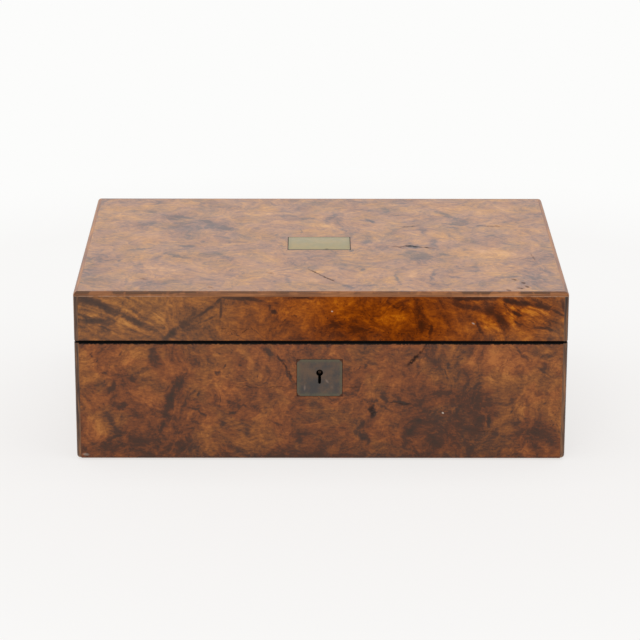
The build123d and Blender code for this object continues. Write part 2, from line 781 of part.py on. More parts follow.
def lid_parts():
    """Every piece of the lid but the link plate."""
    board = (parting(HALF_GAP), level(CEILING_Z))
    skin = (parting(HALF_GAP), level(BOX_H - EDGE_BEAD))
    facing = (parting(FACING_GAP), parting(HALF_GAP))
    hinge = hinge_recesses(True)
    return {
        "lid_top_board": lid_top_board(),
        "lid_front_board": cut(end_wall_board(False, *board), link_mortise()),
        "lid_back_board": cut(end_wall_board(True, *board), hinge),
        "lid_side_boards": side_boards(*board),
        "lid_top_veneer": lid_top_veneer(),
        "lid_front_veneer": end_veneer(False, *skin),
        "lid_back_veneer": cut(end_veneer(True, *skin), hinge),
        "lid_side_veneers": side_veneers(*skin),
        "lid_corner_beads": corner_beads(*skin),
        "lid_top_edge_beads": top_edge_beads(),
        "lid_rim_facings": rim_facings(*facing, hinge + [link_plate_block()]),
        "lid_front_panel": lid_front_panel(),
        "lid_flap_ledges": flap_ledges(1) + [lid_panel_rail()],
        "lid_hinge_rail": rail_layer(1, FLAP_TOP, FLAP_TOP + HINGE_RAIL_H),
        "lid_rail_leather": rail_layer(1, LEATHER_DROP, FLAP_TOP),
        "lid_flap": flap_layer(1, FLAP_TOP, FLAP_DEPTH),
        "lid_flap_leather": flap_layer(1, LEATHER_DROP, FLAP_TOP),
        "lid_flap_pull_tab": pull_tab(1),
    }


def metal_parts():
    """Hinges, lock and inlaid plates."""
    return {
        "base_hinge_leaves": hinge_leaves(False),
        "lid_hinge_leaves": hinge_leaves(True),
        "hinge_pins": hinge_pins(),
        "base_hinge_screws": [place * screw(HINGE_SCREW_L) for place in hinge_screw_places(False)],
        "lid_hinge_screws": [place * screw(HINGE_SCREW_L) for place in hinge_screw_places(True)],
        "lock_case": lock_case(),
        "lock_back_plate": lock_back_plate(),
        "lock_selvedge": lock_selvedge(),
        "lock_bolt": lock_bolt(),
        "lock_spring": lock_spring(),
        "lock_drill_pin": drill_pin(),
        "lock_screws": lock_screws(),
        "link_plate": link_plate(),
        "link_plate_screws": [place * screw(PLATE_SCREW_L) for place in link_plate_screw_places()],
        "escutcheon": escutcheon(),
        "name_plate": name_plate(),
    }


def write_parts():
    """Write one STEP file for each piece or set of like pieces."""
    os.makedirs("parts", exist_ok=True)
    nodes = {**base_parts(), **pen_parts(), **lid_parts(), **metal_parts()}
    for name, shape in nodes.items():
        if isinstance(shape, list):
            shape = Compound([solid for piece in shape for solid in piece.solids()])
        export_step(shape, f"parts/{name}.step")


write_parts()
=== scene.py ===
"""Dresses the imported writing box: burr walnut outside; mahogany, leather, glass and brass inside."""

import logging
import math
from abc import ABC, abstractmethod
from dataclasses import dataclass, field, replace
from enum import Enum
from functools import cached_property
from typing import Sequence, Union

import bmesh
import bpy
from mathutils import Matrix, Vector, noise


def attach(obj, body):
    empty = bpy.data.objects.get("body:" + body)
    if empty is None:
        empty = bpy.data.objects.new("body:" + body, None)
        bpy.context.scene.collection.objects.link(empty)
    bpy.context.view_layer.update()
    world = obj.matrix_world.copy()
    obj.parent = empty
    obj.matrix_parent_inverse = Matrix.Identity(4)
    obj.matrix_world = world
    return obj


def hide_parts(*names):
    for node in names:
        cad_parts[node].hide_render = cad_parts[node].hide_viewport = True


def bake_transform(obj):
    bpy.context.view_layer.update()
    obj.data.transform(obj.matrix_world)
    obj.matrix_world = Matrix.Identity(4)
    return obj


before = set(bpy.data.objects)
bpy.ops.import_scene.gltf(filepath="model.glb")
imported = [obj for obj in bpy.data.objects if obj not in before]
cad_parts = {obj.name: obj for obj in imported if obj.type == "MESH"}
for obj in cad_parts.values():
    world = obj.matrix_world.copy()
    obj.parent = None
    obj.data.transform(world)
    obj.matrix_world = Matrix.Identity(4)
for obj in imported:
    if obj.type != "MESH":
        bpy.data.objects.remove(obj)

LOG = logging.getLogger("writing_box")
MM = 0.001
FAR = 1000.0
CLOSE = 1e-4
HALF_WIDTH = 175.0
HALF_DEPTH = 126.0
DRAWN_OUT = 16.0
KEYHOLE = (-1.0, 63.0)
# Painted shade round the way into the lock: pieces near the keyhole's axis fade to near black between these
# distances, in millimetres.
KEYHOLE_SHADE_REACH = (8.0, 12.0)
KEYHOLE_SHADE = (10, 8, 7)
FLAT_MAP = "flat"

Socket = bpy.types.NodeSocket
Value = Union[Socket, float, Sequence[float]]
Colour = tuple[int, int, int]
Paint = tuple[float, float, float, float]
Row = tuple[float, float, float, float, float, float]


def srgb(red: float, green: float, blue: float) -> Paint:
    """Turns a display colour into a linear one.

    Args:
        red: Red, from 0 to 255.
        green: Green, from 0 to 255.
        blue: Blue, from 0 to 255.

    Returns:
        The colour as Blender takes it, with full alpha.
    """
    linear = []
    for part in (red, green, blue):
        share = part / 255.0
        linear.append(share / 12.92 if share <= 0.04045 else ((share + 0.055) / 1.055) ** 2.4)
    return (linear[0], linear[1], linear[2], 1.0)


class Face(Enum):
    """The side of the box that a sheet of veneer lies on."""

    TOP = "top"
    FRONT = "front"
    BACK = "back"
    SIDE = "side"


class Grain(Enum):
    """The way that straight grain runs, as how far it is drawn out along each axis."""

    ALONG_X = (1.0, DRAWN_OUT, DRAWN_OUT)
    ALONG_Y = (DRAWN_OUT, 1.0, DRAWN_OUT)
    ALONG_Z = (DRAWN_OUT, DRAWN_OUT, 1.0)


@dataclass(frozen=True)
class Palette:
    """Five display colours, from the darkest figure to the lightest."""

    dark: Colour
    shade: Colour
    middle: Colour
    light: Colour
    pale: Colour

    def stops(self) -> list[tuple[float, Paint]]:
        """The colours as evenly spaced stops of a ramp."""
        colours = (self.dark, self.shade, self.middle, self.light, self.pale)
        return [(index / 4.0, srgb(*colour)) for index, colour in enumerate(colours)]


@dataclass(frozen=True)
class Stroke:
    """One mark of the figure that the eye finds at once, in millimetres on its face.

    The mark runs from one point to another. A point is a round spot. Tone below zero darkens.
    """

    u0: float
    v0: float
    u1: float
    v1: float
    width: float
    tone: float


def figure(*rows: Row) -> tuple[Stroke, ...]:
    """Marks from rows of u0, v0, u1, v1, width and tone."""
    return tuple(Stroke(*row) for row in rows)


@dataclass(frozen=True)
class Inlay:
    """A metal plate let into a veneer, with a dark line of painted shade round it where it meets the wood.
    """

    u: float
    v: float
    width: float
    height: float
    line: float = 0.5


class Graph:
    """Builds the node tree of one material, or of the world."""

    def __init__(self, name: str, world: bool = False) -> None:
        """Starts with an empty tree.

        Args:
            name: The name of the material or the world.
            world: Whether it is a world.
        """
        self.owner = (bpy.data.worlds if world else bpy.data.materials).new(name)
        self.owner.use_nodes = True
        self.tree = self.owner.node_tree
        self.tree.nodes.clear()

    def add(self, kind: str, sockets: dict, **settings: object) -> bpy.types.Node:
        """Adds a node.

        Args:
            kind: Blender's name of the node type.
            sockets: What goes into each input, by name or by number.
            settings: The node's own settings.

        Returns:
            The new node.
        """
        node = self.tree.nodes.new(kind)
        for key, value in settings.items():
            setattr(node, key, value)
        for key, value in sockets.items():
            if isinstance(value, Socket):
                self.tree.links.new(value, node.inputs[key])
            else:
                node.inputs[key].default_value = value
        return node

    def math(self, operation: str, *values: Value, clamp: bool = False) -> Socket:
        """A number worked out from others."""
        sockets = dict(enumerate(values))
        return self.add("ShaderNodeMath", sockets, operation=operation, use_clamp=clamp).outputs[0]

    def vector(self, operation: str, first: Value, second: Value) -> Socket:
        """A vector worked out from two others."""
        sockets = {0: first, 1: second}
        return self.add("ShaderNodeVectorMath", sockets, operation=operation).outputs["Vector"]

    def stretch(self, vector: Value, factor: Value) -> Socket:
        """A vector times a number."""
        sockets = {0: vector, "Scale": factor}
        return self.add("ShaderNodeVectorMath", sockets, operation="SCALE").outputs["Vector"]

    def span(self, value: Value, low: float, high: float, start: float = 0.0, end: float = 1.0) -> Socket:
        """A number that is eased from start to end.

        Args:
            value: What drives it.
            low: Where the easing starts.
            high: Where the easing ends.
            start: The number at low.
            end: The number at high.

        Returns:
            The number.
        """
        sockets = {"Value": value, "From Min": low, "From Max": high, "To Min": start, "To Max": end}
        settings = {"interpolation_type": "SMOOTHSTEP", "clamp": False}
        return self.add("ShaderNodeMapRange", sockets, **settings).outputs["Result"]

    def noise(
        self, vector: Value, size: float, detail: float = 2.0, rough: float = 0.5, colour: bool = False
    ) -> Socket:
        """Cloudy noise.

        Args:
            vector: Where it is read, in millimetres.
            size: The rough size of one cloud, in millimetres.
            detail: How many finer layers it has.
            rough: How strong the finer layers are.
            colour: Whether three numbers are wanted rather than one.

        Returns:
            The noise, about 0.5 on average.
        """
        sockets = {"Vector": vector, "Scale": 1.0 / size, "Detail": detail, "Roughness": rough}
        node = self.add("ShaderNodeTexNoise", sockets, noise_dimensions="3D")
        return node.outputs["Color" if colour else "Fac"]

    def pushed(self, place: Value, at: Value, size: float, amount: float, detail: float = 2.0) -> Socket:
        """A place pushed about by cloudy noise.

        Args:
            place: The place.
            at: Where the noise is read, in millimetres.
            size: The rough size of one cloud, in millimetres.
            amount: The longest push, in millimetres, of which most places get up to half.
            detail: How many finer layers the noise has.

        Returns:
            The new place.
        """
        cloud = self.noise(at, size, detail, colour=True)
        offset = self.stretch(self.vector("SUBTRACT", cloud, (0.5, 0.5, 0.5)), 2.0 * amount)
        return self.vector("ADD", place, offset)

    def ramp(self, value: Value, stops: Sequence[tuple[float, Sequence[float]]]) -> Socket:
        """A colour read from a row of stops.

        Args:
            value: Where on the row it is read, from 0 to 1.
            stops: The place and the colour of each stop.

        Returns:
            The colour.
        """
        node = self.add("ShaderNodeValToRGB", {"Fac": value})
        elements = node.color_ramp.elements
        while len(elements) < len(stops):
            elements.new(0.5)
        for element, (place, colour) in zip(elements, stops):
            element.position = place
            element.color = colour
        return node.outputs["Color"]

    def mix(self, factor: Value, first: Value, second: Value, blend: str = "MIX") -> Socket:
        """A mix of two colours."""
        sockets = {0: factor, 6: first, 7: second}
        return self.add("ShaderNodeMix", sockets, data_type="RGBA", blend_type=blend).outputs[2]

    def blend(self, factor: Value, first: Value, second: Value) -> Socket:
        """A mix of two numbers."""
        return self.add("ShaderNodeMix", {0: factor, 2: first, 3: second}, data_type="FLOAT").outputs[0]

    def millimetres(self, uv_map: str = "") -> Socket:
        """The place in the object, or on its flat map where one is named, in millimetres.

        Args:
            uv_map: The flat map's name, or nothing.

        Returns:
            The place.
        """
        if uv_map:
            return self.stretch(self.add("ShaderNodeUVMap", {}, uv_map=uv_map).outputs["UV"], 1.0 / MM)
        return self.stretch(self.add("ShaderNodeTexCoord", {}).outputs["Object"], 1.0 / MM)

    def split(self, vector: Value) -> tuple[Socket, Socket, Socket]:
        """The three parts of a vector."""
        parts = self.add("ShaderNodeSeparateXYZ", {"Vector": vector}).outputs
        return parts[0], parts[1], parts[2]

    def join(self, x: Value, y: Value, z: Value = 0.0) -> Socket:
        """A vector from three numbers."""
        return self.add("ShaderNodeCombineXYZ", {"X": x, "Y": y, "Z": z}).outputs[0]

    def reach(self, u: Value, v: Value) -> Socket:
        """How far a point is from the middle of a plane."""
        square = self.math("ADD", self.math("MULTIPLY", u, u), self.math("MULTIPLY", v, v))
        return self.math("SQRT", square)

    def inside(self, vector: Value, centre: tuple[float, float], half: tuple[float, float]) -> Socket:
        """How far a place is inside a rectangle, in millimetres; below zero it is outside.

        Args:
            vector: The place.
            centre: The rectangle's middle.
            half: Half its width and half its height.

        Returns:
            The distance to its nearest edge.
        """
        u, v, _ = self.split(vector)
        reach = []
        for part, middle, size in zip((u, v), centre, half):
            off = self.math("ABSOLUTE", self.math("SUBTRACT", part, middle))
            reach.append(self.math("SUBTRACT", size, off))
        return self.math("MINIMUM", *reach)

    def strokes(self, vector: Value, marks: Sequence[Stroke], sharp: float = 0.15) -> Socket:
        """The strongest of many marks at each place.

        Args:
            vector: The place on the face, in millimetres.
            marks: The marks, all lighter or all darker.
            sharp: How far from its middle a mark keeps its full strength, from 0 to 1.

        Returns:
            The strength, from 0 to the largest tone.
        """
        total: Value = 0.0
        for mark in marks:
            length = math.hypot(mark.u1 - mark.u0, mark.v1 - mark.v0)
            place = ((mark.u0 + mark.u1) / 2, (mark.v0 + mark.v1) / 2, 0.0)
            angle = math.atan2(mark.v1 - mark.v0, mark.u1 - mark.u0)
            across = 0.85 * mark.width
            scale = (0.66 * length + across, across, FAR)
            sockets = {"Vector": vector, "Location": place, "Rotation": (0.0, 0.0, angle), "Scale": scale}
            local = self.add("ShaderNodeMapping", sockets, vector_type="TEXTURE").outputs[0]
            ball = self.add("ShaderNodeTexGradient", {"Vector": local}, gradient_type="SPHERICAL")
            nearness = self.span(ball.outputs["Fac"], 0.0, 1.0 - sharp, 0.0, abs(mark.tone))
            total = self.math("MAXIMUM", total, nearness)
        return total

    def keyhole_shade(self, colour: Value) -> Socket:
        """A colour that turns nearly black round the way into the lock, as painted shade inside the
        keyhole.

        Args:
            colour: The colour elsewhere.

        Returns:
            The colour, with painted shade where the key goes in.
        """
        x, _, z = self.split(self.millimetres())
        off = [self.math("SUBTRACT", part, middle) for part, middle in zip((x, z), KEYHOLE)]
        return self.mix(self.span(self.reach(*off), *KEYHOLE_SHADE_REACH), srgb(*KEYHOLE_SHADE), colour)

    def bump(self, height: Value, depth: float) -> Socket:
        """A surface normal bent by a height from 0 to 1, which stands for a depth in millimetres."""
        sockets = {"Height": height, "Strength": 1.0, "Distance": depth * MM}
        return self.add("ShaderNodeBump", sockets).outputs["Normal"]

    def finish(self, sockets: dict) -> bpy.types.Material:
        """Joins the surface shader to the output.

        Args:
            sockets: What goes into each input of the surface shader, by name.

        Returns:
            The finished material.
        """
        shader = self.add("ShaderNodeBsdfPrincipled", sockets)
        self.add("ShaderNodeOutputMaterial", {"Surface": shader.outputs[0]})
        return self.owner


BURR_RED = Palette((58, 45, 38), (81, 51, 38), (110, 64, 40), (135, 79, 44), (158, 96, 50))
BURR_GOLD = Palette((57, 45, 40), (81, 54, 41), (112, 69, 42), (139, 86, 46), (163, 105, 54))
# The lid front's two palettes below are lighter and greyer than the base's: they carry a painted reflection
# of the white surroundings, since the lid front itself reflects almost nothing. AMBER is the lid front's
# middle, where no reflection is painted.
LID_RED_PAINTED_REFLECTION = Palette((68, 55, 48), (92, 66, 52), (121, 80, 53), (147, 96, 56), (172, 117, 65))
LID_GOLD_PAINTED_REFLECTION = Palette((69, 55, 49), (95, 68, 52), (124, 83, 54), (150, 100, 57), (174, 120, 67))
AMBER = Palette((50, 21, 4), (80, 32, 2), (112, 48, 0), (144, 69, 0), (176, 98, 6))
TOP_LILAC = Palette((72, 58, 56), (112, 82, 71), (148, 105, 79), (171, 121, 80), (191, 139, 92))
TOP_TAN = Palette((78, 63, 55), (120, 88, 68), (154, 109, 71), (177, 124, 69), (197, 143, 82))
BEAD = Palette((86, 58, 40), (110, 71, 47), (134, 87, 54), (158, 105, 66), (182, 128, 86))
CORNER = Palette((48, 36, 30), (70, 51, 41), (94, 68, 51), (122, 84, 56), (152, 106, 68))
PINE = Palette((126, 90, 54), (148, 108, 66), (168, 128, 80), (184, 146, 96), (196, 160, 112))
MAHOGANY = Palette((58, 24, 14), (84, 36, 20), (112, 50, 26), (134, 66, 34), (152, 82, 44))


class Finish(ABC):
    """A finish whose material is made once and put on every piece that has it."""

    @abstractmethod
    def build(self) -> bpy.types.Material:
        """Makes the material."""

    @cached_property
    def material(self) -> bpy.types.Material:
        """The material, made when it is first asked for."""
        return self.build()


@dataclass(frozen=True)
class BurrVeneer(Finish):
    """French polished burr walnut, with the marks of one sheet."""

    name: str
    face: Face
    palette: Palette
    golden: Palette
    seed: float
    marks: tuple[Stroke, ...] = ()
    zones: tuple[Stroke, ...] = ()
    cracks: tuple[Stroke, ...] = ()
    specks: tuple[Stroke, ...] = ()
    inlays: tuple[Inlay, ...] = ()
    warm: Palette | None = None
    warm_zone: tuple[Stroke, ...] = ()
    flame_zone: tuple[Stroke, ...] = ()
    flame_angle: float = 0.0
    specular: float = 0.12
    roughness: float = 0.36
    contrast: float = 1.0
    lift: float = 1.0
    depth: float = 1.0
    ragged: float = 2.6
    # The colour of the cracks, which also paints the shade line round each inlay; then the near black of
    # the painted shade along the parting line.
    crack_and_shade_colour: Colour = (24, 18, 17)
    parting_shade: Colour = (3, 2, 2)
    speck: Colour = (186, 172, 156)
    cloud_size: float = 30.0
    mottle_size: float = 7.5
    contour_size: float = 38.0
    thread_size: float = 3.0
    speckle_size: float = 1.5
    eye_size: float = 2.1
    cluster_size: float = 17.0
    hue_size: float = 26.0
    # Heights where the painted shade along the parting line is full and where it fades out.
    parting_shade_edge: tuple[float, float] | None = None
    half_width: float = HALF_WIDTH
    half_depth: float = HALF_DEPTH

    def place(self, graph: Graph) -> tuple[Socket, Socket]:
        """The place on the face, flat, and the same with a depth that tells sheets apart.

        Args:
            graph: The graph of the material.

        Returns:
            Both places.
        """
        x, y, z = graph.split(graph.millimetres())
        across = graph.math("ADD", x, self.half_width)
        if self.face is Face.BACK:
            across = graph.math("SUBTRACT", self.half_width, x)
        if self.face is Face.SIDE:
            across = graph.math("ADD", y, self.half_depth)
        up = graph.math("ADD", y, self.half_depth) if self.face is Face.TOP else z
        depth = graph.math("MULTIPLY_ADD", x, 0.3, self.seed) if self.face is Face.SIDE else self.seed
        return graph.join(across, up), graph.join(across, up, depth)

    def tone(self, graph: Graph, flat: Socket, solid: Socket) -> Socket:
        """How light the figure is at each place.

        Args:
            graph: The graph of the material.
            flat: The place on the face, flat.
            solid: The place with the sheet's own depth.

        Returns:
            The tone, from about 0 to 1.
        """
        curl = graph.pushed(solid, solid, 46.0, 30.0)
        curl = graph.pushed(curl, solid, 11.0, 5.0)
        clouds = graph.noise(curl, self.cloud_size, 6.0, 0.6)
        mottle = graph.noise(curl, self.mottle_size, 5.0, 0.62)
        contour = graph.noise(curl, self.contour_size, 1.0, 0.4)
        u, v, _ = graph.split(curl)
        stream = graph.join(graph.math("MULTIPLY", contour, 150.0), graph.math("MULTIPLY", u, 0.22),
                            graph.math("MULTIPLY", v, 0.22))
        thread = graph.noise(stream, self.thread_size, 3.0, 0.6)
        drawn_out = graph.vector("MULTIPLY", solid, (0.5, 1.0, 1.0))
        speckle = graph.noise(drawn_out, self.speckle_size, 3.0, 0.75)
        tone = graph.math("MULTIPLY_ADD", clouds, 0.9, 0.05)
        for layer, weight in ((mottle, 0.8), (thread, 0.4), (speckle, 0.75)):
            weight = self.contrast * weight
            tone = graph.math("ADD", tone, graph.math("MULTIPLY_ADD", layer, weight, -0.5 * weight))
        eyes = graph.span(graph.noise(curl, self.eye_size, 2.0), 0.61, 0.7, 0.0, 0.34)
        clusters = graph.span(graph.noise(solid, self.cluster_size, 2.0), 0.44, 0.6)
        tone = graph.math("SUBTRACT", tone, graph.math("MULTIPLY", eyes, clusters))
        broad = graph.pushed(flat, solid, 26.0, 14.0, 4.0)
        ragged = graph.pushed(flat, solid, 15.0, 1.8 * self.ragged)
        ragged = graph.pushed(ragged, solid, 4.0, self.ragged, 4.0)
        grit = graph.noise(curl, 3.4, 4.0, 0.62)
        if self.flame_zone:
            streaks = self.streaks(graph, solid)
            zone = graph.strokes(flat, self.flame_zone, 0.2)
            change = graph.math("MULTIPLY", graph.math("SUBTRACT", streaks, 0.5), zone)
            tone = graph.math("ADD", tone, change)
            drawn = graph.math("MINIMUM", zone, 1.0)
            grit = graph.blend(drawn, grit, streaks)
        for gain in (self.lift, -self.depth):
            zones = graph.strokes(broad, [mark for mark in self.zones if mark.tone * gain > 0])
            tone = graph.math("MULTIPLY_ADD", zones, gain, tone)
            strength = graph.strokes(ragged, [mark for mark in self.marks if mark.tone * gain > 0])
            gate = graph.span(graph.math("MULTIPLY_ADD", strength, 0.8, grit), 0.4, 0.84, 0.3, 1.15)
            tone = graph.math("MULTIPLY_ADD", graph.math("MULTIPLY", strength, gate), gain, tone)
        return graph.math("MAXIMUM", tone, graph.math("MULTIPLY_ADD", tone, 0.35, 0.1))

    def streaks(self, graph: Graph, solid: Socket) -> Socket:
        """Long feathered streaks, which parts of the sheet have.

        Args:
            graph: The graph of the material.
            solid: The place with the sheet's own depth.

        Returns:
            Their strength, about 0.5 on average.
        """
        swayed = graph.pushed(solid, solid, 40.0, 9.0)
        sockets = {"Vector": swayed, "Rotation": (0.0, 0.0, self.flame_angle), "Scale": (9.0, 1.0, 1.0)}
        drawn = graph.add("ShaderNodeMapping", sockets, vector_type="TEXTURE").outputs[0]
        return graph.noise(drawn, 3.2, 5.0, 0.68)

    def colour(self, graph: Graph, flat: Socket, solid: Socket) -> tuple[Socket, Socket]:
        """The colour, and how deep the cracks and the painted shade lines round the inlays are.

        Args:
            graph: The graph of the material.
            flat: The place on the face, flat.
            solid: The place with the sheet's own depth.

        Returns:
            The colour, and the depth of the cracks and of the painted shade lines round the inlays, from 0
            to 1.
        """
        tone = self.tone(graph, flat, solid)
        patches = graph.noise(graph.pushed(solid, solid, 20.0, 16.0), self.hue_size, 3.0)
        hue = graph.span(patches, 0.42, 0.62)
        red, gold = (graph.ramp(tone, palette.stops()) for palette in (self.palette, self.golden))
        colour = graph.mix(hue, red, gold)
        if self.warm is not None:
            warped = graph.pushed(flat, solid, 22.0, 14.0)
            zone = graph.strokes(warped, self.warm_zone, 0.1)
            colour = graph.mix(zone, colour, graph.ramp(tone, self.warm.stops()))
        jagged = graph.pushed(flat, solid, 4.0, 1.6, 3.0)
        torn = graph.span(graph.noise(solid, 2.2, 2.0), 0.36, 0.56, 0.3, 1.0)
        cracks = graph.math("MULTIPLY", graph.strokes(jagged, self.cracks, 0.3), torn)
        # Painted shade: a dark line round each inlay, where the plate meets the wood, mixed in with the
        # cracks.
        for inlay in self.inlays:
            depth = graph.inside(flat, (inlay.u, inlay.v), (inlay.width / 2, inlay.height / 2))
            cracks = graph.math("MAXIMUM", cracks, graph.span(depth, -inlay.line, -0.3 * inlay.line))
        colour = graph.mix(cracks, colour, srgb(*self.crack_and_shade_colour))
        # Painted shade along the parting line: the veneer turns near black towards its edge there, with a
        # ragged border on the base.
        if self.parting_shade_edge is not None:
            _, up, _ = graph.split(flat)
            outside, inside = self.parting_shade_edge
            worn = graph.math("MULTIPLY_ADD", torn, 0.7, up) if inside < outside else up
            colour = graph.mix(graph.span(worn, inside, outside, 0.0, 1.0), colour, srgb(*self.parting_shade))
        if self.specks:
            colour = graph.mix(graph.strokes(flat, self.specks, 0.3), colour, srgb(*self.speck))
        return colour, cracks

    def build(self) -> bpy.types.Material:
        """Makes the material.

        Returns:
            The material.
        """
        graph = Graph(self.name)
        flat, solid = self.place(graph)
        colour, cracks = self.colour(graph, flat, solid)
        rubbed = graph.noise(solid, 24.0, 3.0, 0.6)
        pores = graph.noise(solid, 0.9, 2.0, 0.6)
        height = graph.math("SUBTRACT", graph.math("MULTIPLY", pores, 0.25), cracks)
        gloss = graph.math("MULTIPLY_ADD", rubbed, 0.2, self.roughness - 0.1)
        return graph.finish({
            "Base Color": colour,
            "Roughness": graph.math("MULTIPLY_ADD", cracks, 0.6, gloss),
            "Specular IOR Level": self.specular,
            "Normal": graph.bump(height, 0.12),
        })


@dataclass(frozen=True)
class StraightWood(Finish):
    """Wood with straight grain."""

    name: str
    palette: Palette
    grain: Grain
    band: float = 9.0
    contrast: float = 1.0
    roughness: float = 0.5
    specular: float = 0.3
    seed: float = 0.0
    keyhole: bool = False
    stains: tuple[Stroke, ...] = ()
    ink: Colour = (26, 20, 30)
    fibre: float = 0.7

    def tone(self, graph: Graph, place: Socket, grain: Grain) -> Socket:
        """How light the wood is at each place, from 0 to 1.

        Args:
            graph: The graph of the material.
            place: The place, in millimetres.
            grain: The way that the grain runs.

        Returns:
            The tone, from about 0 to 1.
        """
        drawn = graph.vector("MULTIPLY", place, grain.value)
        bands = graph.noise(drawn, DRAWN_OUT * self.band, 4.0, 0.55)
        fibres = graph.noise(drawn, DRAWN_OUT * self.fibre, 3.0, 0.6)
        tone = graph.math("MULTIPLY_ADD", bands, 1.5 * self.contrast, 0.5 - 0.75 * self.contrast)
        return graph.math("ADD", tone, graph.math("MULTIPLY_ADD", fibres, 0.5, -0.25))

    def build(self) -> bpy.types.Material:
        """Makes the material.

        Returns:
            The material.
        """
        graph = Graph(self.name)
        place = graph.vector("ADD", graph.millimetres(), (0.0, 0.0, self.seed))
        place = graph.pushed(place, place, 60.0, 3.0)
        tone = self.tone(graph, place, self.grain)
        pores = graph.noise(graph.vector("MULTIPLY", place, self.grain.value), 6.0, 2.0, 0.6)
        colour = graph.ramp(tone, self.palette.stops())
        if self.stains:
            spread = graph.pushed(graph.millimetres(), place, 6.0, 2.4, 3.0)
            colour = graph.mix(graph.strokes(spread, self.stains, 0.4), colour, srgb(*self.ink))
        return graph.finish({
            "Base Color": graph.keyhole_shade(colour) if self.keyhole else colour,
            "Roughness": graph.math("MULTIPLY_ADD", pores, 0.25, self.roughness - 0.12),
            "Specular IOR Level": self.specular,
            "Normal": graph.bump(pores, 0.08),
        })


@dataclass(frozen=True)
class EdgeBead(StraightWood):
    """The beads round the top: the grain follows each bead, and the colour changes along it."""

    half_width: float = HALF_WIDTH
    half_depth: float = HALF_DEPTH
    underside: float = 122.8
    # The top's paler palette, painted on the upper part of the side beads as painted sheen; then the colour
    # of the light line painted along the bead's lower joint.
    painted_sheen_palette: Palette = TOP_LILAC
    joint_line_colour: Colour = (166, 134, 110)

    def build(self) -> bpy.types.Material:
        """Makes the material.

        Returns:
            The material.
        """
        graph = Graph(self.name)
        place = graph.millimetres()
        x, y, z = graph.split(place)
        past_x = graph.math("SUBTRACT", graph.math("ABSOLUTE", x), self.half_width)
        past_y = graph.math("SUBTRACT", graph.math("ABSOLUTE", y), self.half_depth)
        on_side = graph.math("GREATER_THAN", past_x, past_y)
        along_x = self.tone(graph, place, Grain.ALONG_X)
        along_y = self.tone(graph, place, Grain.ALONG_Y)
        tone = graph.blend(on_side, along_x, along_y)
        pieces = graph.noise(graph.vector("MULTIPLY", place, (1.0, 1.0, 0.2)), 17.0, 3.0, 0.7)
        front = graph.math("SUBTRACT", 1.0, on_side)
        ends = graph.math("MAXIMUM", graph.span(x, 85.0, 125.0), graph.span(x, -80.0, -120.0))
        dark = graph.math("MULTIPLY", graph.span(pieces, 0.46, 0.54, 0.04, 0.34), front)
        dark = graph.math("MULTIPLY", dark, graph.math("MULTIPLY_ADD", ends, 1.1, 0.6))
        ridge = graph.span(z, self.underside + 1.5, self.underside + 2.7, 0.4, 1.3)
        dark = graph.math("MULTIPLY", dark, ridge)
        tone = graph.math("SUBTRACT", tone, dark)
        # A light line painted along the bead's lower edge, where it meets the veneer, stronger towards the
        # ends.
        joint = graph.math("MULTIPLY", graph.span(z, self.underside + 0.75, self.underside + 0.35),
                           graph.span(graph.noise(place, 7.0, 3.0, 0.7), 0.38, 0.55, 0.15, 0.8))
        joint = graph.math("MULTIPLY", joint, graph.math("MULTIPLY_ADD", ends, 0.62, 0.08))
        # Painted sheen: the upper part of each side bead takes the top's paler palette, and reflects more.
        upper_sheen_mask = graph.math("MULTIPLY", graph.span(z, self.underside + 0.6, self.underside + 2.0), on_side)
        brown, grey = (graph.ramp(tone, palette.stops()) for palette in (self.palette, self.painted_sheen_palette))
        polished = graph.mix(upper_sheen_mask, brown, grey)
        return graph.finish({
            "Base Color": graph.mix(joint, polished, srgb(*self.joint_line_colour)),
            "Roughness": graph.math("MULTIPLY_ADD", tone, 0.15, self.roughness - 0.07),
            "Specular IOR Level": graph.math("MULTIPLY_ADD", upper_sheen_mask, 0.5, self.specular),
            "Normal": graph.bump(graph.noise(place, 1.5, 2.0), 0.06),
        })


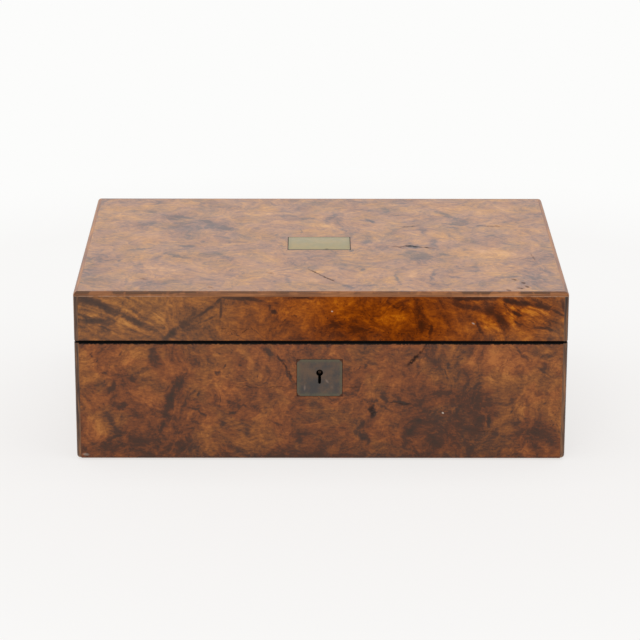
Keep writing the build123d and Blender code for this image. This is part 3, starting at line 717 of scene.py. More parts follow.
@dataclass(frozen=True)
class InlaidPlate(Finish):
    """Old brass let into the wood: dull, greener towards its edges, with painted shade inside its keyhole.
    """

    name: str
    middle: Colour
    patch: Colour
    edge: Colour
    centre: tuple[float, float, float]
    half_width: float
    half_height: float
    upright: bool = False
    nicks: tuple[Stroke, ...] = ()
    keyhole: bool = False
    roughness: float = 0.42
    corner: float = 1.0
    scratch: Colour = (186, 156, 138)
    wood_filler: Colour = (74, 46, 32)
    # Near black, for the dark nicks and for the painted shade inside the keyhole.
    dark_nicks_and_keyhole_shade: Colour = (12, 10, 9)

    def filler(self, graph: Graph, flat: Socket, wander: Socket) -> Socket:
        """Where wood filler shows round the rounded corners of the plate.

        Args:
            graph: The graph of the material.
            flat: The place on the plate, from its middle.
            wander: Noise that makes the edge ragged.

        Returns:
            One where it is filler, and else zero.
        """
        parts = []
        for part, half in zip(graph.split(flat), (self.half_width, self.half_height)):
            past = graph.math("SUBTRACT", graph.math("ABSOLUTE", part), half - self.corner)
            parts.append(graph.math("MAXIMUM", past, 0.0))
        away = graph.math("SUBTRACT", graph.reach(*parts), self.corner)
        return graph.span(graph.math("MULTIPLY_ADD", wander, 2.0, away), 1.0, 1.3)

    def build(self) -> bpy.types.Material:
        """Makes the material.

        Returns:
            The material.
        """
        graph = Graph(self.name)
        place = graph.vector("SUBTRACT", graph.millimetres(), self.centre)
        x, y, z = graph.split(place)
        flat = graph.join(x, z if self.upright else y)
        depth = graph.inside(flat, (0.0, 0.0), (self.half_width, self.half_height))
        wander = graph.noise(place, 4.0, 4.0, 0.65)
        near_edge = graph.span(graph.math("MULTIPLY_ADD", wander, 6.0, depth), 3.2, 6.4, 1.0, 0.0)
        cloud = graph.span(graph.noise(place, 13.0, 5.0, 0.65), 0.36, 0.64)
        colour = graph.mix(cloud, srgb(*self.middle), srgb(*self.patch))
        colour = graph.mix(graph.math("MULTIPLY", near_edge, 0.75), colour, srgb(*self.edge))
        marks = graph.strokes(flat, [mark for mark in self.nicks if mark.tone > 0])
        colour = graph.mix(marks, colour, srgb(*self.scratch))
        dark_nicks_and_keyhole_shade = graph.strokes(flat, [mark for mark in self.nicks if mark.tone < 0])
        # Painted shade inside the keyhole: everything behind the plate's front face turns nearly black.
        if self.keyhole:
            dark_nicks_and_keyhole_shade = graph.math("MAXIMUM", dark_nicks_and_keyhole_shade, graph.span(y, 0.3, 0.45))
        filler = self.filler(graph, flat, wander)
        colour = graph.mix(filler, colour, srgb(*self.wood_filler))
        return graph.finish({
            "Base Color": graph.mix(dark_nicks_and_keyhole_shade, colour, srgb(*self.dark_nicks_and_keyhole_shade)),
            "Metallic": graph.math("SUBTRACT", 1.0, filler),
            "Roughness": graph.math("MULTIPLY_ADD", wander, 0.24, self.roughness - 0.12),
            "Specular IOR Level": graph.math("MULTIPLY_ADD", filler, -0.4, 0.5),
            "Normal": graph.bump(graph.noise(place, 0.8, 3.0, 0.6), 0.02),
        })


@dataclass(frozen=True)
class Plain(Finish):
    """A finish of two colours mixed by cloudy noise: lacquer, cloth, steel or brass."""

    name: str
    first: Colour
    second: Colour
    size: float = 12.0
    metallic: float = 0.0
    roughness: float = 0.5
    rough_change: float = 0.2
    specular: float = 0.5
    sheen: float = 0.0
    bump_size: float = 1.0
    bump_depth: float = 0.03
    keyhole: bool = False

    def build(self) -> bpy.types.Material:
        """Makes the material.

        Returns:
            The material.
        """
        graph = Graph(self.name)
        place = graph.millimetres()
        cloud = graph.noise(place, self.size, 5.0, 0.62)
        share = graph.span(cloud, 0.32, 0.68)
        colour = graph.mix(share, srgb(*self.first), srgb(*self.second))
        return graph.finish({
            "Base Color": graph.keyhole_shade(colour) if self.keyhole else colour,
            "Metallic": self.metallic,
            "Roughness": graph.math("MULTIPLY_ADD", cloud, self.rough_change,
                                    self.roughness - self.rough_change / 2),
            "Specular IOR Level": self.specular,
            "Sheen Weight": self.sheen,
            "Normal": graph.bump(graph.noise(place, self.bump_size, 3.0, 0.6), self.bump_depth),
        })


@dataclass(frozen=True)
class Glass(Finish):
    """Thick moulded glass with faint waves and a little dried ink."""

    name: str
    clear: Colour = (232, 240, 238)
    inked: Colour = (120, 130, 150)
    refraction: float = 1.52

    def build(self) -> bpy.types.Material:
        """Makes the material.

        Returns:
            The material.
        """
        graph = Graph(self.name)
        place = graph.millimetres()
        stain = graph.span(graph.noise(place, 9.0, 3.0), 0.5, 0.75, 0.0, 0.35)
        return graph.finish({
            "Base Color": graph.mix(stain, srgb(*self.clear), srgb(*self.inked)),
            "Roughness": graph.math("MULTIPLY_ADD", stain, 0.3, 0.03),
            "IOR": self.refraction,
            "Transmission Weight": 1.0,
            "Normal": graph.bump(graph.noise(place, 8.0, 1.0), 0.1),
        })


@dataclass(frozen=True)
class Ribbon(Finish):
    """Ribbed silk ribbon, darker along its selvedges."""

    name: str
    rib: float = 0.45
    half_width: float = 6.8
    dull: Colour = (92, 22, 34)
    bright: Colour = (124, 44, 52)
    edge: Colour = (58, 14, 22)

    def build(self) -> bpy.types.Material:
        """Makes the material.

        Returns:
            The material.
        """
        graph = Graph(self.name)
        place = graph.millimetres()
        x, y, _ = graph.split(place)
        ribs = graph.math("PINGPONG", y, self.rib)
        ribs = graph.math("DIVIDE", ribs, self.rib)
        selvedge = graph.span(graph.math("ABSOLUTE", x), self.half_width - 1.1, self.half_width - 0.5)
        worn = graph.span(graph.noise(place, 5.0, 4.0), 0.36, 0.66)
        silk = graph.mix(worn, srgb(*self.dull), srgb(*self.bright))
        shaded = graph.mix(graph.math("MULTIPLY", selvedge, 0.6), silk, srgb(*self.edge))
        return graph.finish({
            "Base Color": shaded,
            "Roughness": graph.math("MULTIPLY_ADD", ribs, 0.15, 0.42),
            "Specular IOR Level": 0.35,
            "Sheen Weight": 0.4,
            "Normal": graph.bump(ribs, 0.12),
        })


@dataclass(frozen=True)
class Leather(Finish):
    """Writing leather with a gilt tooled border, drawn on the flat sheet before it is laid."""

    name: str
    half_width: float = 165.5
    front: float = -63.5
    back: float = 117.0
    rules: tuple[tuple[float, float], ...] = ((7.0, 0.35), (9.0, 0.7), (17.0, 0.35))
    dot_step: float = 2.5
    dot_band: tuple[float, float] = (13.0, 2.6)
    dark: Colour = (66, 21, 20)
    light: Colour = (98, 36, 30)
    gold: Colour = (196, 156, 84)

    def build(self) -> bpy.types.Material:
        """Makes the material.

        Returns:
            The material.
        """
        graph = Graph(self.name)
        place = graph.millimetres(FLAT_MAP)
        x, y, _ = graph.split(place)
        flat = graph.join(x, y)
        middle = (0.0, (self.front + self.back) / 2)
        depth = graph.inside(flat, middle, (self.half_width, (self.back - self.front) / 2))
        gilt: Value = 0.0
        for at, half in self.rules:
            off = graph.math("ABSOLUTE", graph.math("SUBTRACT", depth, at))
            gilt = graph.math("MAXIMUM", gilt, graph.span(off, half, half + 0.15, 1.0, 0.0))
        step_x = graph.math("PINGPONG", x, self.dot_step)
        step_y = graph.math("PINGPONG", y, self.dot_step)
        lozenge = graph.math("ADD", step_x, step_y)
        in_band = graph.math("COMPARE", depth, *self.dot_band)
        dots = graph.math("MULTIPLY", graph.span(lozenge, 1.1, 1.5, 1.0, 0.0), in_band)
        gilt = graph.math("MAXIMUM", gilt, dots)
        worn = graph.span(graph.noise(place, 6.0, 5.0, 0.7), 0.35, 0.5)
        gilt = graph.math("MULTIPLY", gilt, worn)
        cells = graph.add("ShaderNodeTexVoronoi", {"Vector": place, "Scale": 1.1}, feature="F1")
        pebble = cells.outputs["Distance"]
        cloud = graph.noise(place, 30.0, 4.0, 0.6)
        hide = graph.mix(graph.span(cloud, 0.35, 0.65), srgb(*self.dark), srgb(*self.light))
        return graph.finish({
            "Base Color": graph.mix(gilt, hide, srgb(*self.gold)),
            "Metallic": graph.math("MULTIPLY", gilt, 0.85),
            "Roughness": graph.math("MULTIPLY_ADD", cloud, 0.25, 0.36),
            "Specular IOR Level": 0.4,
            "Normal": graph.bump(graph.math("SUBTRACT", pebble, gilt), 0.12),
        })


BASE_FRONT_MARKS = figure(
    # Gold and orange at the left
    (34, 81, 50, 80, 13, 0.26), (35, 75, 44, 76, 6, 0.2), (8, 78, 6, 64, 9, 0.26),
    (33, 58, 45, 49, 10, 0.16), (48, 46, 58, 45, 9, 0.26), (47, 39, 53, 37, 5, 0.2),
    (8, 49, 17, 41, 6, 0.18), (10, 28, 18, 22, 12, 0.16), (6, 17, 9, 12, 7, 0.1), (63, 60, 66, 57, 6, 0.26),
    (96, 56, 106, 54, 16, 0.16), (78, 35, 84, 35, 6, 0.16), (120, 69, 132, 70, 14, 0.1),
    (158, 42, 165, 38, 8, 0.16), (100, 31, 104, 26, 5, 0.12),
    # Dark bands at the left
    (56, 85, 57, 73, 6, -0.3), (55, 70, 42, 65, 3.4, -0.28), (42, 65, 27, 63, 2.6, -0.24),
    (38, 62, 42, 61, 4.5, -0.34), (46, 62, 53, 59, 2, -0.18), (29, 59, 23, 51, 5.5, -0.28),
    (35, 55, 36, 52, 6, -0.16), (26, 42, 37, 39, 5.5, -0.28), (37, 38, 48, 32, 4.5, -0.3),
    (22, 36, 28, 26, 5, -0.3), (28, 24, 31, 19, 8, -0.3), (24, 16, 19, 9, 7, -0.28),
    (38, 17, 50, 13, 6, -0.24), (3, 85, 9, 84, 4, -0.2), (23, 67, 23.5, 66.5, 2.4, -0.34),
    (11.5, 80.5, 13, 78, 1.4, -0.34),
    # The long dark streak
    (76, 62, 70, 53, 9, -0.4), (70, 52, 65, 38, 7, -0.4), (65, 37, 63, 33, 6, -0.34),
    (63, 32, 57, 18, 3.6, -0.34), (76, 56, 88, 59, 2.4, -0.24), (78, 50, 90, 51, 2.2, -0.2),
    (79, 50, 80, 42, 1.4, -0.26), (74, 62, 77, 66, 4, -0.26),
    # The middle
    (83, 40, 90, 38, 1.8, -0.4), (90, 38, 92, 34, 2, -0.4), (86, 31, 87, 29, 4, -0.3),
    (106, 35, 114, 35.5, 1.8, -0.4), (108, 44, 116, 43, 4, -0.22), (118, 41, 121, 40, 1.8, -0.36),
    (103, 31, 108, 26, 4, -0.24), (121, 26, 121, 22, 6, -0.2), (131, 83, 142, 79, 4.5, -0.3),
    (144, 80, 149, 70.5, 2.2, -0.4), (149, 70, 157, 58, 2, -0.42), (137, 67, 139, 65, 4.6, -0.28),
    (117.5, 72, 118.5, 71, 2.4, -0.3), (141, 33, 147, 27, 3, -0.34), (161, 21, 160, 13, 5, -0.32),
    (101.6, 66.6, 102.4, 66, 2.6, -0.5), (102, 60, 95, 64, 1.3, -0.2), (84, 76, 88, 74, 4, -0.2),
    (70, 9, 88, 12, 13, -0.22), (106, 13, 118, 7, 7, -0.18), (140, 7, 158, 8, 7, -0.2),
    # The right half
    (178, 81, 190, 80, 9, 0.18), (194, 76, 206, 78, 12, 0.12), (224, 58, 240, 61, 8, 0.22),
    (277, 73, 283, 74, 8, 0.26), (297, 84, 300, 70, 11, 0.2), (302, 68, 319, 60, 10, 0.2),
    (287, 65, 306, 57, 2.4, 0.24), (322, 56, 328, 45, 12, 0.22), (316, 40, 322, 35, 6, 0.3),
    (318, 7, 326, 6, 5, 0.26), (266, 22, 276, 18, 7, 0.12), (214, 31, 222, 28, 7, 0.1),
    (205, 72, 205.6, 70.6, 3.2, -0.42), (210, 75, 215, 73, 4, -0.2), (190, 50, 201, 49, 3, -0.24),
    (217, 51, 222, 45, 3.6, -0.38), (222, 44.5, 242, 41.5, 2.2, -0.44), (241, 42, 251, 48, 3.4, -0.24),
    (204, 46, 216, 44, 3.6, -0.32), (216, 43, 225, 37, 2, -0.28), (211.6, 42, 211, 34.5, 4, -0.6),
    (204, 29, 202, 23, 5, -0.44), (202, 21, 209, 14, 3.2, -0.4), (226, 27, 230, 26, 4.6, -0.28),
    (243, 30, 244, 27, 5, -0.32), (243, 26, 236, 19, 4.4, -0.34), (235, 18, 236, 5, 3.6, -0.28),
    (251, 18, 258, 12, 7, -0.32), (252, 79, 256, 74, 6, -0.22), (260, 69, 267, 63, 2, -0.32),
    (267, 74, 266, 69, 2, -0.3), (270, 78, 276, 80, 1.6, -0.24), (255, 52, 270, 50, 6, -0.28),
    (273, 41, 272, 37, 4, -0.28), (280, 52, 288, 57, 3, -0.26), (287, 52, 285, 36, 8, -0.3),
    (289, 33, 293, 31, 5, -0.32), (295.6, 32, 296, 24, 2.4, -0.46), (300, 16, 303, 22, 5, -0.26),
    (312, 85, 325, 74, 2, -0.34), (326, 73, 341, 63, 2.4, -0.24), (333, 79, 337, 78, 5, -0.34),
    (311, 30, 316, 26, 6, -0.2), (316, 23, 348, 13, 8, -0.34), (326, 28, 344, 23, 7, -0.18),
    # The band along the whole foot at v 2.5 and the broad darkening at the lower right are painted shade,
    # where the front is lit less.
    (6, 2.5, 344, 2.5, 5, -0.22), (240, 38, 300, 30, 34, -0.1), (20, 8, 60, 4, 12, -0.14),
    (310, 7, 347, 5, 5, -0.12),
)
BASE_FRONT_ZONES = figure(
    (6, 74, 46, 72, 30, 0.13), (14, 22, 14, 46, 22, 0.1), (300, 80, 328, 46, 30, 0.12),
    (88, 56, 150, 48, 40, 0.07), (214, 64, 240, 58, 26, 0.06), (216, 14, 222, 10, 20, 0.05),
    # The broad darker zones low on the front and at the lower right, and the band along the whole foot at v
    # 1, are painted shade, where the front is lit less.
    (240, 22, 296, 30, 52, -0.2), (24, 14, 96, 10, 22, -0.11), (316, 20, 350, 14, 13, -0.14),
    (140, 8, 200, 6, 18, -0.09), (0, 1, 350, 1, 14, -0.13), (262, 76, 282, 50, 20, -0.07),
    (108, 40, 140, 30, 24, -0.04), (76, 62, 63, 36, 8, -0.17), (64, 36, 56, 16, 5.5, -0.13),
    (57, 85, 56, 73, 7, -0.12), (55, 71, 28, 63, 5.5, -0.11), (29, 60, 22, 50, 7, -0.1),
    (24, 42, 48, 32, 6.5, -0.1), (22, 38, 31, 19, 7, -0.12), (216, 50, 244, 41, 5, -0.1),
    (204, 30, 202, 18, 6, -0.1), (286, 54, 288, 34, 8, -0.1), (36, 79, 52, 77, 16, 0.1),
    (36, 52, 58, 44, 13, 0.12), (296, 74, 326, 48, 16, 0.06),
)
BASE_FRONT_CRACKS = figure(
    (250, 87.5, 244, 79, 1.3, 0.85), (244.5, 80, 236.5, 72, 2.3, 0.9), (144, 80, 157, 58, 1.3, 0.55),
    (211.6, 41.5, 211.4, 35.2, 4.2, 0.62), (222, 44.6, 242, 41.6, 1.2, 0.5),
    (111, 56.2, 133, 55.4, 0.7, 0.55), (133, 55.4, 155, 55.6, 0.6, 0.45), (191, 55.8, 204, 55.5, 0.9, 0.55),
    (214, 56.3, 232, 55.2, 0.6, 0.5), (288, 22, 299, 22, 0.6, 0.7), (58, 34.5, 70, 33.8, 0.6, 0.3),
)
LID_FRONT_MARKS = figure(
    # Streaks that fan out to the right from the left end
    (3, 122, 19, 117.5, 5.5, -0.42), (12, 119.5, 31, 110.7, 4.4, -0.44), (22, 113, 36, 109.5, 4.2, -0.36),
    (31, 110.5, 54, 101.4, 3.4, -0.38), (37, 115, 50, 108, 2.4, -0.22), (2, 105, 24, 104.5, 4.4, -0.4),
    (2, 110, 14, 106.5, 2.4, -0.26), (15, 102, 33, 94.5, 1.8, -0.32), (8, 109, 18, 109.6, 2.2, 0.2),
    (36, 104, 44, 101, 2.6, 0.2), (3, 97, 12, 98, 5, 0.12), (57, 108, 68, 103, 10, 0.2),
    (66, 118, 86, 119, 8, 0.18), (50, 98, 62, 95, 5, 0.12), (108, 114, 130, 112, 12, 0.1),
    # The dark band that climbs to the right
    (63, 91, 76, 100, 4.6, -0.42), (76, 100, 81, 103, 6, -0.24), (85, 107, 101, 117, 2.2, -0.38),
    (100, 117, 104, 121, 2.4, -0.38), (89, 103.5, 101, 109, 1.8, -0.34), (104, 118, 104, 106, 2.2, -0.38),
    (80, 97, 96, 98, 8, -0.14), (104, 122, 134, 120.5, 3.4, -0.44), (138, 118, 138.5, 113, 2, -0.2),
    (150, 122.4, 175, 122, 2, -0.34), (141.2, 112.2, 141.8, 111.8, 3.2, -0.7),
    # The amber middle
    (143, 114, 150, 110, 8, 0.2), (160, 118, 176, 119, 8, 0.18), (150, 104, 158, 102, 8, -0.1),
    (183, 103, 185, 101, 5, -0.3), (196, 99, 208, 97, 9, -0.14), (216, 107, 236, 107, 7, 0.22),
    (205, 118, 218, 119, 6, 0.14), (221, 119, 232, 113, 2.6, -0.3), (228, 118, 234, 114, 7, -0.2),
    (242, 114, 245, 111, 7, -0.2), (246, 106, 246, 99, 7, -0.26), (253, 103, 252.5, 92, 2, -0.36),
    (262, 108, 268, 104, 8, -0.1), (148, 91.5, 168, 92, 3, -0.24), (182, 96, 190, 94, 6, -0.12),
    (210, 112, 216, 108, 5, -0.12), (275, 101, 280, 98, 6, 0.1),
    # Streaks that flow down to the right at the right end
    (262, 121.5, 300, 121.4, 3.2, -0.46), (273, 116.5, 288, 113, 4.4, -0.3), (290, 117, 298, 110, 6, -0.4),
    (299, 111, 307, 97, 6, -0.4), (284, 106, 290, 94, 2.2, -0.34), (290, 102, 300, 98, 8, 0.24),
    (309, 108, 314, 97, 4.6, 0.26), (309, 113, 318, 109, 2.4, -0.5), (316, 114, 330, 111, 6, 0.36),
    (306, 116.5, 316, 115, 2.2, 0.28), (300, 121.5, 325, 117, 3.4, -0.5), (325, 117, 337, 114, 3.2, -0.44),
    (337, 114, 348, 108, 2.4, -0.4), (323, 103, 344, 96, 2.4, -0.38), (326, 98, 336, 95, 5, 0.16),
    (336, 105, 342, 100, 5, -0.16), (311, 105, 322, 101, 1.8, -0.28), (345, 121, 347, 112, 2.4, -0.3),
)
LID_FRONT_ZONES = figure(
    (34, 112, 70, 106, 22, 0.08), (146, 112, 184, 116, 16, 0.12), (216, 106, 238, 108, 16, 0.1),
    (286, 100, 300, 98, 14, 0.12), (312, 112, 334, 108, 12, 0.12), (78, 104, 100, 96, 20, -0.1),
    (184, 98, 210, 98, 14, -0.1), (244, 112, 250, 98, 14, -0.12), (2, 116, 26, 110, 16, -0.1),
    (330, 120, 348, 112, 12, -0.1), (110, 95, 140, 93, 10, -0.06),
)
LID_FRONT_CRACKS = figure(
    (102, 99.2, 109, 99.4, 0.5, 0.5), (109, 100.4, 115, 96.4, 0.7, 0.6), (119, 96, 124, 98.4, 0.6, 0.6),
    (123.6, 102, 128, 96.4, 0.5, 0.5), (114, 99.6, 121, 98.8, 0.4, 0.4), (104, 97.4, 112, 97, 0.4, 0.3),
)
LID_FRONT_SPECKS = figure(
    (182.5, 112, 182.9, 112, 0.8, 0.75), (282, 103.4, 283.2, 102.8, 0.9, 0.5),
)
BASE_FRONT_SPECKS = figure(
    (261.9, 36.1, 262.3, 35.9, 1.0, 0.85), (5, 4.4, 8, 4.1, 1.6, 0.3),
)
TOP_MARKS = figure(
    # A ring of grey cloud at the left
    (57, 196, 75, 194, 10, -0.3), (84, 192, 95, 170, 8, -0.26), (95, 168, 112, 162, 7, -0.28),
    (50, 181, 42, 172, 9, -0.26), (42, 170, 42, 152, 6, -0.2), (61, 192, 65, 190, 10, -0.28),
    (60, 168, 74, 165, 20, -0.12), (75, 145, 78, 144, 5, -0.32), (73, 116, 78, 116, 6.5, -0.3),
    (33, 106, 48, 109.5, 5.5, -0.32), (59, 98, 80, 82, 4.4, -0.32), (96, 102, 110, 80, 6.5, -0.26),
    (7, 84, 14, 80, 8, -0.22), (27, 78, 28, 76, 3.4, -0.34), (28, 214, 31, 212, 5, -0.26),
    (43, 213, 47, 210, 7, -0.26), (40, 241, 54, 237, 9, -0.22), (102, 224, 112, 222, 12, -0.14),
    (124, 219, 128, 214, 8, -0.14), (8, 236, 16, 225, 9, -0.14), (40, 30, 60, 24, 14, -0.1),
    (105, 128, 112, 122, 8, -0.14),
    # The middle
    (158, 191, 172, 191, 6.5, -0.28), (186, 207, 179, 180, 6, -0.26), (190, 220, 188, 212, 4.4, -0.2),
    (160, 169, 162, 148, 1.4, -0.28), (213, 185, 215, 182, 6, -0.56), (226, 224, 225, 208, 6, -0.22),
    (228, 203, 245, 198, 2.6, -0.3), (209, 137, 209, 122, 8, -0.28), (199, 107, 198, 102, 2.6, -0.46),
    (188, 74, 192, 60, 9, -0.2), (140, 51, 175, 67, 2.4, -0.24), (155, 64, 164, 60, 7, -0.18),
    (152, 44, 150, 17, 4.4, -0.28), (142, 30, 140, 20, 3, -0.22), (229, 52, 231, 20, 3.2, -0.34),
    (256, 57, 255, 27, 2.6, -0.28), (205, 56, 204, 52, 4.2, -0.32), (194, 17, 226, 18, 4.6, -0.24),
    (192, 17, 196, 13, 7, -0.32), (183, 31, 188, 26, 6, -0.26), (170, 100, 185, 96, 10, -0.12),
    # The right
    (251, 172, 254, 147, 7, -0.28), (260, 134, 259, 117, 9, -0.3), (265, 212, 281, 188, 7, -0.3),
    (281, 187, 287, 174, 8.5, -0.1), (262, 180, 289, 173, 2.6, -0.3), (270, 168, 275, 166, 7, -0.26),
    (294, 174, 299, 171, 8, -0.28), (239, 168, 250, 172, 2.2, -0.4), (240, 117, 247, 114, 6, -0.5),
    (244, 104, 250, 90, 15, -0.16), (236, 104, 252, 103, 2.6, -0.26), (238, 95, 254, 93, 2.6, -0.28),
    (243, 90, 258, 89, 2.2, -0.22), (238, 99, 240, 97, 5, -0.3), (240, 84, 254, 82, 7, -0.3),
    (263, 95, 269, 94, 6, -0.32), (344, 102, 344, 94, 6, -0.2), (287, 77, 287, 52, 4, -0.22),
    (300, 36, 318, 38, 5, -0.3), (268, 38, 274, 36, 6, -0.24), (329, 36, 333, 33, 8, -0.26),
    (308, 64, 318, 60, 3, -0.24), (280, 130, 292, 126, 9, -0.18), (312, 148, 316, 142, 7, -0.2),
    (330, 236, 344, 226, 12, -0.16), (300, 150, 306, 143, 6, -0.2), (335, 60, 342, 40, 8, -0.16),
    (310, 126, 316, 124, 7, -0.18),
    # Paler and more orange places
    (62, 228, 74, 226, 9, 0.2), (100, 194, 110, 190, 9, 0.16), (29, 204, 34, 190, 8, 0.16),
    (172, 173, 186, 170, 9, 0.22), (241, 218, 248, 210, 11, 0.2), (268, 224, 298, 221, 9, 0.18),
    (206, 39, 222, 35, 12, 0.14), (240, 57, 242, 40, 9, 0.22), (294, 101, 312, 97, 15, 0.22),
    (294, 48, 306, 46, 9, 0.18), (172, 47, 180, 64, 7, 0.2), (166, 42, 172, 20, 11, 0.16),
    (36, 136, 42, 126, 8, 0.14), (276, 150, 282, 132, 6, 0.16), (30, 60, 60, 62, 8, 0.12),
    (128, 228, 140, 190, 9, 0.14), (212, 170, 224, 158, 8, 0.16), (80, 26, 110, 22, 10, 0.12),
)
TOP_ZONES = figure(
    (112, 200, 150, 170, 40, 0.1), (172, 206, 176, 180, 20, 0.1), (256, 226, 310, 218, 30, 0.12),
    (290, 100, 314, 96, 26, 0.14), (210, 40, 244, 44, 26, 0.1), (40, 140, 60, 120, 20, 0.08),
    (70, 60, 140, 40, 40, 0.06), (216, 164, 230, 180, 24, 0.1), (300, 44, 296, 60, 18, 0.1),
    (60, 190, 96, 172, 26, -0.12), (60, 170, 78, 150, 34, -0.08), (8, 20, 16, 90, 24, -0.08),
    (246, 104, 250, 80, 24, -0.14), (176, 96, 196, 66, 22, -0.12), (330, 60, 344, 110, 20, -0.1),
    (30, 238, 60, 236, 16, -0.08), (200, 240, 240, 236, 14, -0.06), (290, 22, 340, 34, 22, -0.1),
    (36, 12, 70, 20, 20, -0.08), (186, 200, 180, 184, 12, -0.08), (276, 200, 288, 170, 14, -0.1),
)
TOP_CRACKS = figure(
    (229, 114.6, 244, 116, 1.7, 0.85), (243, 116, 259, 111, 1.7, 0.9), (240, 117.4, 247, 114.4, 3.6, 1.0),
    (238, 168.4, 250, 172, 1.4, 0.75), (295, 172, 313, 170, 1.3, 0.7), (309, 173, 311, 169, 1.8, 0.5),
    (166, 57, 176, 40, 1.4, 0.8), (176, 40, 184, 27, 1.7, 0.85), (330, 98, 332, 78, 1.0, 0.4),
    (312.6, 32, 313.6, 30, 2.2, 0.65), (318.6, 25, 319.4, 22, 2.4, 0.7), (321, 15.6, 322, 13, 2.6, 0.75),
    (315, 11, 317, 10, 2.8, 0.7), (307, 7, 308, 3.6, 2.4, 0.65), (230, 119, 236, 110, 1.4, 0.4),
    (96, 13, 98, 10, 2.6, 0.4), (47, 33, 49, 31, 3.0, 0.35), (137, 48, 140, 46, 2.4, 0.4),
)

# The sides and the back aren't in the photograph, so their figure is a guess.
SIDE_MARKS = figure(
    (20, 20, 44, 34, 8, -0.3), (44, 34, 62, 60, 5, -0.34), (62, 60, 66, 78, 6, -0.26),
    (92, 104, 118, 96, 7, -0.3), (118, 96, 150, 112, 4, -0.26), (130, 30, 160, 44, 10, -0.26),
    (160, 44, 178, 40, 4, -0.36), (204, 70, 226, 52, 6, -0.3), (226, 52, 244, 24, 8, -0.3),
    (212, 96, 240, 104, 7, -0.24), (84, 12, 110, 16, 9, -0.24), (14, 84, 22, 100, 7, -0.26),
    (30, 56, 46, 70, 9, 0.2), (96, 46, 118, 60, 14, 0.18), (150, 74, 184, 84, 14, 0.2),
    (196, 20, 210, 34, 9, 0.18), (60, 108, 84, 112, 9, 0.18), (232, 84, 244, 72, 8, 0.2),
)
BACK_MARKS = figure(
    (14, 60, 40, 44, 8, -0.28), (40, 44, 58, 20, 5, -0.34), (80, 96, 112, 104, 8, -0.3),
    (112, 104, 130, 84, 5, -0.3), (130, 84, 128, 60, 7, -0.24), (160, 24, 196, 36, 9, -0.28),
    (196, 36, 220, 28, 4, -0.34), (226, 112, 258, 100, 7, -0.3), (258, 100, 270, 78, 5, -0.28),
    (284, 20, 316, 34, 9, -0.3), (316, 34, 336, 62, 6, -0.3), (300, 96, 330, 108, 8, -0.24),
    (30, 84, 56, 100, 12, 0.2), (90, 40, 116, 52, 14, 0.18), (170, 84, 204, 94, 14, 0.2),
    (236, 50, 262, 44, 12, 0.2), (20, 14, 34, 24, 8, 0.16), (310, 60, 322, 74, 8, 0.2),
)
TRAY_STAINS = figure(
    (-96, -94, -90, -92, 7, 0.75), (-84, -88, -82, -88, 3, 0.6), (62, -98, 74, -97, 5, 0.55),
    (80, -92, 81, -91, 2.4, 0.8), (-30, -100, -26, -99, 3, 0.5), (104, -80, 105, -79, 3, 0.5),
)


def stand(name: str, data: bpy.types.ID) -> bpy.types.Object:
    """Puts a new object in the scene.

    Args:
        name: The object's name.
        data: Its mesh, camera or lamp.

    Returns:
        The object.
    """
    thing = bpy.data.objects.new(name, data)
    bpy.context.scene.collection.objects.link(thing)
    return thing


def filled(name: str, shape: bmesh.types.BMesh, material: bpy.types.Material) -> bpy.types.Mesh:
    """A mesh from a shape, which is used up.

    Args:
        name: The mesh's name.
        shape: The shape, in metres.
        material: What it is finished with.

    Returns:
        The mesh.
    """
    mesh = bpy.data.meshes.new(name)
    shape.to_mesh(mesh)
    shape.free()
    mesh.materials.append(material)
    return mesh


@dataclass
class Dresser:
    """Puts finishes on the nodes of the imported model."""

    count: int = 0

    def dress(self, node: str, finish: Finish) -> None:
        """Gives a node a finish.

        Args:
            node: The node's name.
            finish: What it is finished with.
        """
        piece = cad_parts[node]
        for index in range(len(piece.material_slots)):
            piece.material_slots[index].material = finish.material
        self.count += 1
        LOG.info("%s is finished in %s", node, finish.material.name)

    def dress_all(self, finish: Finish, *nodes: str) -> None:
        """Gives several nodes the same finish."""
        for node in nodes:
            self.dress(node, finish)


@dataclass(frozen=True)
class Softbox:
    """A rectangular lamp, in metres and watts."""

    name: str
    place: tuple[float, float, float]
    width: float
    height: float
    power: float


